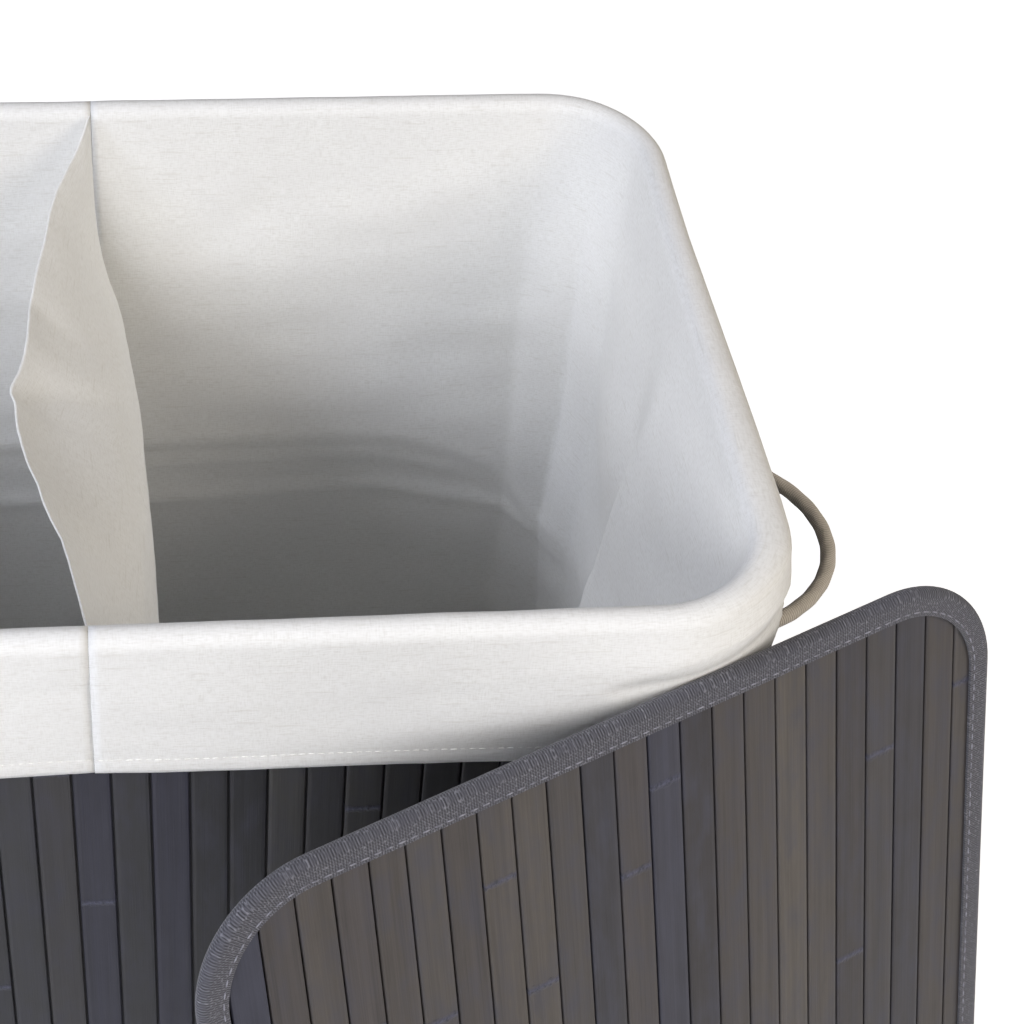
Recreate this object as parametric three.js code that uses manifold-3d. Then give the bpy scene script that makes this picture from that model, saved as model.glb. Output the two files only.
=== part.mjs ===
// A laundry hamper with two bins: a slatted bamboo wall on a canvas backing, bound with woven
// tape over steel wire, a lift-out cotton liner whose cuff folds over the rim, a rope handle at
// each end, and a loose slatted lid that leans against the front right corner.
// Millimetres, +Z up, +X towards the right-hand end, the front at -Y.
// The origin is the middle of the underside.

import * as THREE from 'three';
import { mergeVertices } from 'three/addons/utils/BufferGeometryUtils.js';
import Module from 'manifold-3d';

const solids = await Module();
solids.setup();

// Driving dimensions of the hamper
const bodyLength = 520; // over the slats, end to end
const bodyWidth = 335; // over the slats, front to back
const rimHeight = 560; // floor to the top of the liner's fold
const cornerRadius = 50; // over the slats
const gap = 0.3; // between pieces that touch

// Slatted wall
const slatPitch = 15;
const slatGroove = 0.9;
const slatThickness = 2.8;
const slatChamfer = 0.4;
const firstGroove = 5.7; // from the middle of the front to the nearest groove
const glueFilm = 0.6;
const canvasThickness = 1.2;

// Woven binding over a wire, along every edge of the slats
const tapeThickness = 1.5;
const tapeDepth = 24;
const tapeEase = 0.5; // between the tape and the flat slats that turn the corners
const wireDiameter = 3;

// Floor of the hamper
const baseClothThickness = 1.2;
const baseBoardThickness = 4;
const baseBoardEase = 1.5; // the board drops in freely

// Cotton liner
const clothThickness = 1.6;
const clothEase = 0.4; // between the cloth and the binding that it folds over
const cuffDepth = 70; // from the rim down to the hem
const cuffWave = 1.4; // how far the cuff stands off in its slack places
const bagInset = 2; // how far the bags hang inside the fold
const bagShoulder = 60; // the height over which they draw in
const knotFold = 11.5; // how far the knots push the end walls in
const knotFoldReach = 76; // half the length of end wall that they push
const knotFoldFade = 40;
const creaseDepth = 3; // the crease left by packing, proud of the bags
const creaseDrop = 220; // from the rim down to it
const creaseSpan = 22; // from the crease to where it has died out

// Divider, slack between the middle of the front and the middle of the back
const dividerDrop = 8; // from the rim to where its hem meets the walls
const dividerSag = 27; // of the hem at mid span
const dividerLean = 31; // of the hem, towards the left bin
const dividerBelly = 24; // of the cloth below it, towards the right bin
const dividerBellyDrop = 90; // from the rim to the fullest part of that belly
const dividerStraightDrop = 260; // from the rim to where it starts to hang plumb

// Rope handles
const ropeDiameter = 7;
const handleSpacing = 117; // between the two eyelets of a handle
const handleDrop = 134; // from the rim to the eyelets
const handleReach = 68; // from the eyelets to the middle of the loop
const handleDroop = 1; // degrees below level: the rope is stiff enough to stand out
const eyeletFlange = 9; // radius
const eyeletMetal = 1;
const eyeletEase = 0.5; // between the rope and the bore
const knotRadius = 9;
const knotLength = 11;

// Lid
const lidEndOverhang = 13.5; // at each end, were it to lie on the slatted wall
const lidSideOverhang = 13; // at each side
const lidRadius = 50;
const lidFirstGroove = 12; // from the lid's left edge
const lidSlatThickness = 2.6;
const lidFilm = 0.5;
const lidCanvas = 1;
const lidTape = 1.2;
const lidTapeDepth = 11; // of the strip that shows on the slats
const lidTurn = 25.3; // degrees, from the hamper's front to the lid's
const lidLean = 15; // degrees from plumb
const lidShift = -46; // of its middle along its own width, from the hamper's corner

// Facets
const cornerSteps = 8; // in each quarter turn of an outline
const foldSteps = 4; // over the rim
const wireSides = 6;
const ropeSides = 8;
const turnedSides = 14;
const ropeSteps = 20;
const tapeFoldSteps = 3;
const cutOverrun = 10;

// What follows from them
const degrees = Math.PI / 180;
const quarter = Math.PI / 2;
const wireRadius = wireDiameter / 2;
const ropeRadius = ropeDiameter / 2;
const runX = bodyLength / 2 - cornerRadius; // middle of an outline to the centre of its corner
const runY = bodyWidth / 2 - cornerRadius;
const cornerArc = cornerRadius * quarter;
const lidLength = bodyLength + 2 * lidEndOverhang;
const lidWidth = bodyWidth + 2 * lidSideOverhang;
const wallThickness = slatThickness + glueFilm + gap + canvasThickness;

// The binding is a deep U round the wall's edge: half widths of its inside and outside, and how
// far the wall's edge lies below the centre of its rounded end.
const tapeInside = wallThickness / 2 + tapeEase;
const tapeOutside = tapeInside + tapeThickness;
const wireLift = tapeInside - gap - wireRadius;
const edgeDrop = wireRadius + gap - wireLift;
const wallMiddle = -wallThickness / 2; // as an offset from the slats' outer face
const bindingTop = rimHeight - clothThickness - clothEase;
const wallTop = bindingTop - tapeOutside - edgeDrop;
const wallBottom = tapeOutside + edgeDrop;

// The liner's middle surface rounds the binding on this radius, then falls on both sides.
const foldRadius = tapeOutside + clothEase + clothThickness / 2;
const foldCentre = bindingTop - tapeOutside;
const boardTop = baseClothThickness + gap + baseBoardThickness;
const linerFloor = boardTop + gap;
const linerStart = linerFloor + clothThickness + gap;

// Heights that are set by their drop from the rim
const hemHeight = rimHeight - cuffDepth;
const handleHeight = rimHeight - handleDrop;
const creaseHeight = rimHeight - creaseDrop;
const dividerTop = rimHeight - dividerDrop;
const dividerBellyHeight = rimHeight - dividerBellyDrop;
const dividerStraightHeight = rimHeight - dividerStraightDrop;

// Geometry helpers

function toSolid(geometry) {
  const bare = geometry.clone();
  bare.deleteAttribute('normal');
  bare.deleteAttribute('uv');
  const merged = mergeVertices(bare);
  return new solids.Manifold(new solids.Mesh({
    numProp: 3,
    vertProperties: new Float32Array(merged.attributes.position.array),
    triVerts: new Uint32Array(merged.index.array),
  }));
}

function toGeometry(solid) {
  const mesh = solid.getMesh();
  const geometry = new THREE.BufferGeometry();
  geometry.setAttribute('position', new THREE.BufferAttribute(mesh.vertProperties, 3));
  geometry.setIndex(new THREE.BufferAttribute(mesh.triVerts, 1));
  return geometry;
}

function cut(geometry, ...tools) {
  return toGeometry(tools.reduce((left, tool) => left.subtract(toSolid(tool)), toSolid(geometry)));
}

function join(...geometries) {
  return toGeometry(geometries.map(toSolid).reduce((sum, next) => sum.add(next)));
}

function keepInside(geometry, limit) {
  return toGeometry(toSolid(geometry).intersect(toSolid(limit)));
}

// A closed mesh from points and triangles, turned so that its faces point out.
function closedGeometry(points, triangles) {
  const volume = triangles.reduce((sum, [a, b, c]) => {
    const normal = new THREE.Vector3().crossVectors(points[b], points[c]);
    return sum + points[a].dot(normal);
  }, 0);
  const outward = volume > 0 ? triangles : triangles.map(([a, b, c]) => [a, c, b]);
  const geometry = new THREE.BufferGeometry().setFromPoints(points);
  geometry.setIndex(outward.flat());
  return geometry;
}

// Walks an outline of straight runs and quarter turns, anticlockwise from the middle of the
// front, and gives the point that lies the distance along it and the direction out of it.
function pointAlong({ acrossX, acrossY, radius }, distance) {
  const arc = radius * quarter;
  const legs = [acrossX, arc, 2 * acrossY, arc, 2 * acrossX, arc, 2 * acrossY, arc, acrossX];
  const at = new THREE.Vector2(0, -acrossY - radius);
  let heading = 0;
  let left = distance;
  legs.forEach((size, leg) => {
    const step = Math.min(Math.max(left, 0), size);
    const turns = leg % 2 === 1;
    if (turns) {
      const centre = at.clone().add(new THREE.Vector2(-Math.sin(heading), Math.cos(heading))
        .multiplyScalar(radius));
      heading += step / radius;
      at.copy(centre).add(new THREE.Vector2(Math.sin(heading), -Math.cos(heading))
        .multiplyScalar(radius));
    } else {
      at.add(new THREE.Vector2(Math.cos(heading), Math.sin(heading)).multiplyScalar(step));
    }
    left -= step;
  });
  return { at, outward: new THREE.Vector2(Math.sin(heading), -Math.cos(heading)) };
}

// The stations of a rounded rectangle, with the same turns on every ring that shares its corners.
function ringStations(outline) {
  const arc = outline.radius * quarter;
  const starts = [0, 1, 2, 3].map((corner) => outline.acrossX + corner * arc
    + 2 * outline.acrossY * Math.ceil(corner / 2) + 2 * outline.acrossX * Math.floor(corner / 2));
  return starts.flatMap((start) => Array.from({ length: cornerSteps + 1 },
    (_, step) => pointAlong(outline, start + arc * step / cornerSteps)));
}

function offsetPoint(station, offset) {
  return station.at.clone().addScaledVector(station.outward, offset);
}

function plate(stations, offset, bottom, top, holeOffset) {
  const shape = new THREE.Shape(stations.map((station) => offsetPoint(station, offset)));
  if (holeOffset !== undefined) {
    shape.holes.push(new THREE.Path(stations.map((station) => offsetPoint(station, holeOffset))));
  }
  return new THREE.ExtrudeGeometry(shape, { depth: top - bottom, bevelEnabled: false })
    .translate(0, 0, bottom);
}

// Sweeps a closed section of [offset, height] points round the stations.
function sweptRing(stations, section) {
  const points = stations.flatMap((station) => section.map(([offset, height]) => {
    const { x, y } = offsetPoint(station, offset);
    return new THREE.Vector3(x, y, height);
  }));
  const count = section.length;
  const triangles = [];
  stations.forEach((_, ring) => {
    const next = (ring + 1) % stations.length;
    section.forEach((__, side) => {
      const after = (side + 1) % count;
      const corners = [ring * count + side, ring * count + after, next * count + after,
        next * count + side];
      triangles.push([corners[0], corners[1], corners[2]], [corners[0], corners[2], corners[3]]);
    });
  });
  return closedGeometry(points, triangles);
}

// A prism whose flat ends are the given triangles. Each edge that only one of them has gets a wall.
function prism(faces, bottom, top) {
  const edges = faces.flatMap(([a, b, c]) => [[a, b], [b, c], [c, a]]);
  const name = (a, b) => [a.x, a.y, b.x, b.y].map((value) => value.toFixed(4)).join();
  const known = new Set(edges.map(([a, b]) => name(a, b)));
  const raised = ({ x, y }, height) => new THREE.Vector3(x, y, height);
  const walls = edges.filter(([a, b]) => !known.has(name(b, a))).flatMap(([a, b]) => [
    [raised(a, bottom), raised(b, bottom), raised(b, top)],
    [raised(a, bottom), raised(b, top), raised(a, top)],
  ]);
  const points = [
    ...faces.flatMap((face) => face.map((point) => raised(point, top))),
    ...faces.flatMap((face) => face.map((point) => raised(point, bottom)).reverse()),
    ...walls.flat(),
  ];
  return closedGeometry(points, Array.from({ length: points.length / 3 },
    (_, triangle) => [0, 1, 2].map((corner) => 3 * triangle + corner)));
}

// Gives a sheet, a grid of points on its middle surface, its thickness. Each edge has a wall.
function clothSolid(grid, thickness) {
  const rows = grid.length;
  const columns = grid[0].length;
  const normalAt = (row, column) => {
    const along = grid[Math.min(row + 1, rows - 1)][column].clone()
      .sub(grid[Math.max(row - 1, 0)][column]);
    const across = grid[row][Math.min(column + 1, columns - 1)].clone()
      .sub(grid[row][Math.max(column - 1, 0)]);
    return along.cross(across).normalize();
  };
  const faces = [1, -1].map((face) => grid.map((line, row) => line.map((point, column) => point
    .clone().addScaledVector(normalAt(row, column), face * thickness / 2))));
  const points = faces.flat(2);
  const index = (face, row, column) => (face * rows + row) * columns + column;
  const triangles = [];
  const quad = (a, b, c, d) => triangles.push([a, b, c], [a, c, d]);
  for (let row = 0; row < rows - 1; row += 1) {
    for (let column = 0; column < columns - 1; column += 1) {
      quad(index(0, row, column), index(0, row + 1, column), index(0, row + 1, column + 1),
        index(0, row, column + 1));
      quad(index(1, row, column), index(1, row, column + 1), index(1, row + 1, column + 1),
        index(1, row + 1, column));
    }
    [0, columns - 1].forEach((column) => {
      const corners = [index(0, row, column), index(1, row, column), index(1, row + 1, column),
        index(0, row + 1, column)];
      quad(...(column ? corners.reverse() : corners));
    });
  }
  for (let column = 0; column < columns - 1; column += 1) {
    [0, rows - 1].forEach((row) => {
      const corners = [index(0, row, column), index(0, row, column + 1),
        index(1, row, column + 1), index(1, row, column)];
      quad(...(row ? corners.reverse() : corners));
    });
  }
  return closedGeometry(points, triangles);
}

const smooth = (low, high, value) => THREE.MathUtils.smoothstep(value, low, high);

const spread = (low, high, steps) => Array.from({ length: steps + 1 },
  (_, step) => low + (high - low) * step / steps);

// Slats. Each is flat and lies along the chord of its own stretch of the outline, so the wall
// turns its corners in facets one slat wide, as stiff bamboo on a canvas does.
function slatFace(a, b, width, thickness) {
  const along = b.clone().sub(a).normalize();
  const out = new THREE.Vector2(along.y, -along.x);
  const middle = a.clone().add(b).multiplyScalar(0.5);
  const half = width / 2;
  return [[-half, thickness], [-half, slatChamfer], [slatChamfer - half, 0],
    [half - slatChamfer, 0], [half, slatChamfer], [half, thickness]]
    .map(([side, depth]) => middle.clone().addScaledVector(along, side)
      .addScaledVector(out, -depth));
}

// A row of slats on its glue film. filmPoint gives the point that lies a distance along the film
// and an offset out of it. The end faces are a fan behind each slat and one at each groove.
function slatRow({ start, pitch, count }, filmPoint, thickness, filmThickness, bottom, top) {
  const width = pitch - slatGroove;
  const slats = Array.from({ length: count }, (_, slat) => {
    const edge = start + slat * pitch + slatGroove / 2;
    const ends = [filmPoint(edge, thickness), filmPoint(edge + width, thickness)];
    return {
      face: slatFace(...ends, width, thickness),
      back: spread(edge, edge + width, 2).map((along) => filmPoint(along, -filmThickness)),
    };
  });
  const [rowStart, rowEnd] = [start + gap / 2, start + count * pitch - gap / 2]
    .map((along) => [filmPoint(along, 0), filmPoint(along, -filmThickness)]);
  const fan = (hub, rim) => rim.slice(1).map((point, side) => [hub, rim[side], point]);
  const behindSlats = slats.flatMap(({ face, back }) => fan(back[1], [back[0], ...face, back[2]]));
  const behindGrooves = slats.slice(1).flatMap(({ face, back }, slat) => (
    fan(slats[slat].back[2], [slats[slat].face.at(-1), face[0], back[0]])));
  const first = fan(rowStart[1], [rowStart[0], slats[0].face[0], slats[0].back[0]]);
  const last = fan(slats.at(-1).back[2], [slats.at(-1).face.at(-1), ...rowEnd]);
  return prism([...behindSlats, ...behindGrooves, ...first, ...last], bottom, top);
}

const bodyOutline = { acrossX: runX, acrossY: runY, radius: cornerRadius };
const bodyRing = ringStations(bodyOutline);

function eyeletPlaces() {
  return ['left', 'right'].flatMap((end) => ['front', 'back'].map((place) => ({
    name: `${end}_${place}`,
    side: end === 'right' ? 1 : -1,
    y: (place === 'back' ? 1 : -1) * handleSpacing / 2,
  })));
}

// Turns a profile of [radius, distance out of the wall] points about an eyelet's axis.
function turnedAtEyelet(profile, { side, y }) {
  const points = profile.map(([radius, out]) => new THREE.Vector2(radius, out));
  return new THREE.LatheGeometry(points, turnedSides)
    .rotateZ(-quarter * side)
    .translate(side * bodyLength / 2, y, handleHeight);
}

function eyeletHole(place) {
  const radius = ropeRadius + eyeletEase + eyeletMetal + tapeEase;
  const depth = 2 * (wallThickness + cutOverrun);
  return new THREE.CylinderGeometry(radius, radius, depth, turnedSides)
    .rotateZ(quarter)
    .translate(place.side * bodyLength / 2, place.y, handleHeight);
}

// The slats are glued to one film in panels: one on each straight run and one round each corner.
// Distances here run from the left end of the front's straight run.
const panelNames = ['front', 'front_right', 'right', 'back_right', 'back', 'back_left', 'left',
  'front_left'];
const film = { acrossX: runX, acrossY: runY, radius: cornerRadius - slatThickness };
const filmArc = film.radius * quarter;
const filmLength = 4 * (runX + runY + filmArc);
const panelRuns = [runX, runY, runX, runY].flatMap((run) => [2 * run, filmArc]);

function slatPanels() {
  const slats = Math.round(filmLength / slatPitch);
  const pitch = filmLength / slats;
  const ahead = (runX + firstGroove) % pitch;
  const first = ahead > pitch / 2 ? ahead - pitch : ahead;
  let end = 0;
  return panelNames.map((name, panel) => {
    const start = end;
    end += panelRuns[panel];
    const low = Math.round((start - first) / pitch);
    const high = Math.round((end - first) / pitch);
    return { name: `slats_${name}`, start: first + low * pitch, pitch, count: high - low };
  });
}

function slatPanel(panel) {
  const row = slatRow(panel, (distance, offset) => offsetPoint(
    pointAlong(film, (distance - runX + filmLength) % filmLength),
    offset,
  ), slatThickness, glueFilm, wallBottom, wallTop);
  return cut(row, ...eyeletPlaces().map(eyeletHole));
}

function wallBacking() {
  const outside = -slatThickness - glueFilm - gap;
  const wall = plate(bodyRing, outside, wallBottom, wallTop, outside - canvasThickness);
  return cut(wall, ...eyeletPlaces().map(eyeletHole));
}

// The section of a binding: a U whose round end is at the top, as [offset, height] points.
function tapeSection(middle, inside, outside, depth, centre, up) {
  const arc = (radius, flip) => spread(0, Math.PI, tapeFoldSteps + 1).map((angle) => [
    middle + flip * radius * Math.cos(angle),
    centre + up * radius * Math.sin(angle),
  ]);
  const foot = centre - up * depth;
  return [[middle + outside, foot], ...arc(outside, 1), [middle - outside, foot],
    [middle - inside, foot], ...arc(inside, -1), [middle + inside, foot]];
}

function wireSection(offset, height) {
  return Array.from({ length: wireSides }, (_, side) => {
    const angle = 2 * Math.PI * side / wireSides;
    return [offset + wireRadius * Math.cos(angle), height + wireRadius * Math.sin(angle)];
  });
}

function topBinding() {
  const section = tapeSection(wallMiddle, tapeInside, tapeOutside, tapeDepth, foldCentre, 1);
  return sweptRing(bodyRing, section);
}

function bottomBinding() {
  const section = tapeSection(wallMiddle, tapeInside, tapeOutside, tapeDepth, tapeOutside, -1);
  return sweptRing(bodyRing, section);
}

const rimWire = () => sweptRing(bodyRing, wireSection(wallMiddle, foldCentre + wireLift));
const baseWire = () => sweptRing(bodyRing, wireSection(wallMiddle, tapeOutside - wireLift));

// Floor of the hamper: a cloth sewn into the bottom binding, and a board that drops in on it.
const baseEdge = wallMiddle - tapeOutside - gap;
const baseCloth = () => plate(bodyRing, baseEdge, 0, baseClothThickness);
const baseBoard = () => plate(bodyRing, baseEdge - baseBoardEase, baseClothThickness + gap,
  boardTop);

// Eyelets: a plated ring rolled over on both faces of the wall.
function eyelet(place) {
  const bore = ropeRadius + eyeletEase;
  const barrel = bore + eyeletMetal;
  const outside = gap + eyeletMetal;
  const inside = -wallThickness - gap;
  return turnedAtEyelet([[bore, outside], [eyeletFlange, outside], [eyeletFlange, gap],
    [barrel, gap], [barrel, inside], [eyeletFlange, inside],
    [eyeletFlange, inside - eyeletMetal], [bore, inside - eyeletMetal], [bore, outside]]
    .reverse(), place);
}

// The end of the rope inside an eyelet, with the stopper knot behind it. The knot's two humps
// are shares of its length and radius.
const knotHumpShares = [[0, 0.62], [0.1, 0.9], [0.28, 1], [0.45, 0.84], [0.55, 0.8], [0.72, 0.9],
  [0.88, 0.66], [1, 0]];

function knot(place) {
  const start = -wallThickness - 2 * gap - eyeletMetal;
  const humps = knotHumpShares.map(([lengthShare, radiusShare]) => [
    knotRadius * radiusShare,
    start - knotLength * lengthShare,
  ]);
  return turnedAtEyelet([[0, gap + eyeletMetal], [ropeRadius, gap + eyeletMetal],
    [ropeRadius, start], ...humps].reverse(), place);
}

// Rope handles: half an ellipse that leaves both eyelets square to the wall, drawn level and
// turned down about the line through them. Its ends are balls, so that it can swing.
const handlePivot = bodyLength / 2 + 2 * gap + eyeletMetal + ropeRadius;

function ropeHandle(side) {
  const start = -Math.PI / 2;
  const route = new THREE.CatmullRomCurve3(spread(0, Math.PI, ropeSteps).map((angle) => (
    new THREE.Vector3(
      handleReach * Math.sin(angle),
      handleSpacing / 2 * Math.sin(start + angle),
      0,
    ))));
  const section = new THREE.Shape(Array.from({ length: ropeSides }, (_, corner) => {
    const angle = 2 * Math.PI * corner / ropeSides;
    return new THREE.Vector2(ropeRadius * Math.cos(angle), ropeRadius * Math.sin(angle));
  }));
  const tube = new THREE.ExtrudeGeometry(section, { steps: ropeSteps, extrudePath: route });
  const balls = [-1, 1].map((end) => new THREE.SphereGeometry(ropeRadius, ropeSides, ropeSides)
    .translate(0, end * handleSpacing / 2, 0));
  return join(tube, ...balls)
    .rotateY(handleDroop * degrees)
    .rotateZ(side > 0 ? 0 : Math.PI)
    .translate(side * handlePivot, 0, handleHeight);
}

// Liner. A bag's wall follows the hamper's outline from the middle of the front, round one end,
// to the middle of the back. Each place on it has a distance from the middle of its end wall.
const bagHalf = runX + cornerArc + runY;
const straightSteps = 4;
const endSteps = 8;
const cuffSteps = 3;

function bagStations() {
  const distances = [
    ...spread(gap / 2, runX, straightSteps),
    ...spread(runX, runX + cornerArc, cornerSteps).slice(1),
    ...spread(runX + cornerArc, runX + cornerArc + 2 * runY, endSteps).slice(1),
    ...spread(runX + cornerArc + 2 * runY, bagHalf + runY + cornerArc, cornerSteps).slice(1),
    ...spread(bagHalf + runY + cornerArc, 2 * bagHalf - gap / 2, straightSteps).slice(1),
  ];
  return distances.map((distance) => ({
    ...pointAlong(bodyOutline, distance),
    fromEnd: distance - bagHalf,
  }));
}

// How far inside the fold the bag hangs: it draws in below the rim, the knots push the end
// wall in, and the packing crease runs round it.
function bagDraw(fromEnd, height) {
  const drawn = bagInset * smooth(0, bagShoulder, foldCentre - height);
  const below = smooth(handleHeight + knotRadius, foldCentre, height);
  const near = smooth(knotFoldReach, knotFoldReach + knotFoldFade, Math.abs(fromEnd));
  const crease = creaseDepth * (1 - smooth(0, creaseSpan, Math.abs(height - creaseHeight)));
  const creased = crease * smooth(0, knotFoldReach, bagHalf - Math.abs(fromEnd));
  return drawn + knotFold * (1 - below) * (1 - near) + creased;
}

// The cuff stands off the wall in long shallow waves, most of all below half way down.
const cuffWaves = 5; // from the middle of an end wall to the divider
const cuffBellyShare = 0.8;

function cuffDraw(fromEnd, height) {
  const down = (foldCentre - height) / (foldCentre - hemHeight);
  const wave = (1 - Math.cos(2 * Math.PI * cuffWaves * fromEnd / bagHalf)) / 2;
  const fromCorner = Math.abs(Math.abs(fromEnd) - runY - cornerArc / 2);
  const clearOfCorner = smooth(cornerArc, 2 * cornerArc, fromCorner);
  return cuffWave * wave * clearOfCorner * Math.sin(Math.PI * Math.min(down, 1) * cuffBellyShare);
}

const lowRowShares = [0.16, 0.4];
const bagHeights = [linerStart, ...lowRowShares.map((share) => rimHeight * share),
  creaseHeight - creaseSpan, creaseHeight, creaseHeight + creaseSpan,
  (creaseHeight + handleHeight) / 2, handleHeight, handleHeight + 2 * knotRadius,
  foldCentre - tapeDepth];

function linerWall(side) {
  const grid = bagStations().map((station) => {
    const place = (offset, height) => {
      const { x, y } = offsetPoint(station, offset);
      return new THREE.Vector3(side * x, y, height);
    };
    const inner = bagHeights.map((height) => place(
      wallMiddle - foldRadius - bagDraw(station.fromEnd, height),
      height,
    ));
    const fold = spread(Math.PI, 0, foldSteps).map((angle) => place(
      wallMiddle + foldRadius * Math.cos(angle),
      foldCentre + foldRadius * Math.sin(angle),
    ));
    const cuff = spread(foldCentre, hemHeight, cuffSteps).slice(1).map((height) => place(
      wallMiddle + foldRadius + cuffDraw(station.fromEnd, height),
      height,
    ));
    return [...inner, ...fold, ...cuff];
  });
  return clothSolid(grid, clothThickness);
}

function linerFloorSheet(side) {
  const edge = bagStations().map((station) => {
    const draw = bagDraw(station.fromEnd, linerStart);
    const { x, y } = offsetPoint(station, wallMiddle - foldRadius - draw + clothThickness / 2);
    return new THREE.Vector2(side * x, y);
  });
  return new THREE.ExtrudeGeometry(new THREE.Shape(edge), {
    depth: clothThickness,
    bevelEnabled: false,
  }).translate(0, 0, linerFloor);
}

// The divider's hem sags and leans over the left bin, and the cloth below it bellies into the
// right bin before it falls plumb. Its side edges follow the walls that they are sewn to, row by
// row, so its lower rows lie at the same heights as the walls' own.
const dividerSteps = 12;
const dividerLow = bagHeights.at(-2);
const dividerHighShares = [0.37, (bagHeights.at(-1) - dividerLow) / (dividerTop - dividerLow), 1];

function liningFace(height) {
  const rows = [...bagHeights, foldCentre];
  const upper = Math.max(rows.findIndex((row) => row >= height), 1);
  const [low, high] = [rows[upper - 1], rows[upper]];
  const draw = THREE.MathUtils.mapLinear(height, low, high, bagDraw(bagHalf, low),
    bagDraw(bagHalf, high));
  return bodyWidth / 2 + wallMiddle - foldRadius - draw - clothThickness / 2 - gap;
}

function linerDivider() {
  const grid = spread(-1, 1, dividerSteps).map((across) => {
    const slack = Math.cos(across * quarter);
    const top = dividerTop - dividerSag * slack;
    const high = dividerHighShares.map((share) => dividerLow + (top - dividerLow) * share);
    return [...bagHeights.slice(0, -1), ...high].map((height) => {
      const upper = smooth(dividerBellyHeight, top, height);
      const lower = smooth(dividerStraightHeight, dividerBellyHeight, height);
      const x = slack * (dividerBelly * lower - (dividerBelly + dividerLean) * upper);
      return new THREE.Vector3(x, across * liningFace(height), height);
    });
  });
  return clothSolid(grid, clothThickness);
}

// Lid, drawn lying on its back: its width along X, its length along Y, its slats' face at Z = 0.
const lidStack = lidSlatThickness + lidFilm + gap + lidCanvas;
const lidMiddle = -lidStack / 2;
const lidTapeInside = lidStack / 2 + gap;
const lidTapeOutside = lidTapeInside + lidTape;
const lidWireLift = lidTapeInside - gap - wireRadius;
const lidEdgeDrop = wireRadius + gap - lidWireLift;
const lidOutline = {
  acrossX: lidWidth / 2 - lidRadius,
  acrossY: lidLength / 2 - lidRadius,
  radius: lidRadius,
};
const lidRing = ringStations(lidOutline);
const panelEdge = -lidTapeOutside - lidEdgeDrop;

// The lid's slats are counted from its right edge. The outermost are cut by the outline.
function lidSlats() {
  const count = Math.ceil(lidWidth / slatPitch) + 1;
  const left = lidWidth / 2 - lidFirstGroove + slatPitch;
  const length = lidLength + cutOverrun;
  const row = slatRow(
    { start: left - count * slatPitch, pitch: slatPitch, count },
    (distance, offset) => new THREE.Vector2(-distance, offset - lidSlatThickness),
    lidSlatThickness,
    lidFilm,
    -length / 2,
    length / 2,
  ).rotateX(quarter);
  return keepInside(row, plate(lidRing, panelEdge, -lidStack, lidStack));
}

const lidBacking = () => plate(lidRing, panelEdge, -lidStack, lidCanvas - lidStack);
const lidWire = () => sweptRing(lidRing, wireSection(lidWireLift - lidTapeOutside, lidMiddle));

// The lid's binding is the same U, with its round end facing out.
function lidBinding() {
  const section = tapeSection(lidMiddle, lidTapeInside, lidTapeOutside,
    lidTapeDepth - lidTapeOutside, -lidTapeOutside, 1);
  return sweptRing(lidRing, section.map(([height, offset]) => [offset, height]));
}

// Where the lid stands: on its short edge, with its back against the cuff's corner. A lid that
// reaches above the rim touches the cuff at the rim's height, and a shorter one with its top.
function standLid(lid) {
  const lean = lidLean * degrees;
  const turn = lidTurn * degrees;
  const halfEdge = lidTapeOutside;
  const topEdge = lidLength - halfEdge;
  const contact = Math.min(topEdge, foldCentre / Math.cos(lean));
  const reach = contact * Math.sin(lean) - lidMiddle * Math.cos(lean) + halfEdge;
  const cuffRadius = cornerRadius + wallMiddle + foldRadius + clothThickness / 2;
  const across = new THREE.Vector3(Math.cos(turn), Math.sin(turn), 0);
  const towards = new THREE.Vector3(-Math.sin(turn), Math.cos(turn), 0);
  const lowest = halfEdge - halfEdge * Math.cos(lean) - lidMiddle * Math.sin(lean);
  lid.rotation.set(quarter - lean, 0, turn, 'ZYX');
  lid.position.set(runX, -runY, lowest)
    .addScaledVector(across, lidShift)
    .addScaledVector(towards, -cuffRadius - gap - reach);
}

// Materials
const finishes = {
  slats: { color: 0x4a4a4e, roughness: 0.55, metalness: 0 },
  lidSlats: { color: 0x5b5856, roughness: 0.5, metalness: 0 },
  canvas: { color: 0x2c2c30, roughness: 0.95, metalness: 0 },
  tape: { color: 0x55555d, roughness: 0.9, metalness: 0 },
  wire: { color: 0x9a9a98, roughness: 0.35, metalness: 1 },
  cotton: { color: 0xecebe6, roughness: 0.95, metalness: 0 },
  board: { color: 0x8a7458, roughness: 0.8, metalness: 0 },
  plated: { color: 0x9c958a, roughness: 0.35, metalness: 1 },
  rope: { color: 0xa59e94, roughness: 0.95, metalness: 0 },
};

function piece(name, geometry, finish) {
  const shaded = geometry.index ? geometry.toNonIndexed() : geometry;
  shaded.computeVertexNormals();
  const mesh = new THREE.Mesh(shaded, new THREE.MeshStandardMaterial(finishes[finish]));
  mesh.name = name;
  return mesh;
}

const hamper = new THREE.Group();
hamper.add(
  ...slatPanels().map((panel) => piece(panel.name, slatPanel(panel), 'slats')),
  piece('wall_backing', wallBacking(), 'canvas'),
  piece('top_binding', topBinding(), 'tape'),
  piece('bottom_binding', bottomBinding(), 'tape'),
  piece('rim_wire', rimWire(), 'wire'),
  piece('base_wire', baseWire(), 'wire'),
  piece('base_cloth', baseCloth(), 'canvas'),
  piece('base_board', baseBoard(), 'board'),
);
eyeletPlaces().forEach((place) => {
  hamper.add(piece(`eyelet_${place.name}`, eyelet(place), 'plated'));
  hamper.add(piece(`knot_${place.name}`, knot(place), 'rope'));
});

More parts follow.
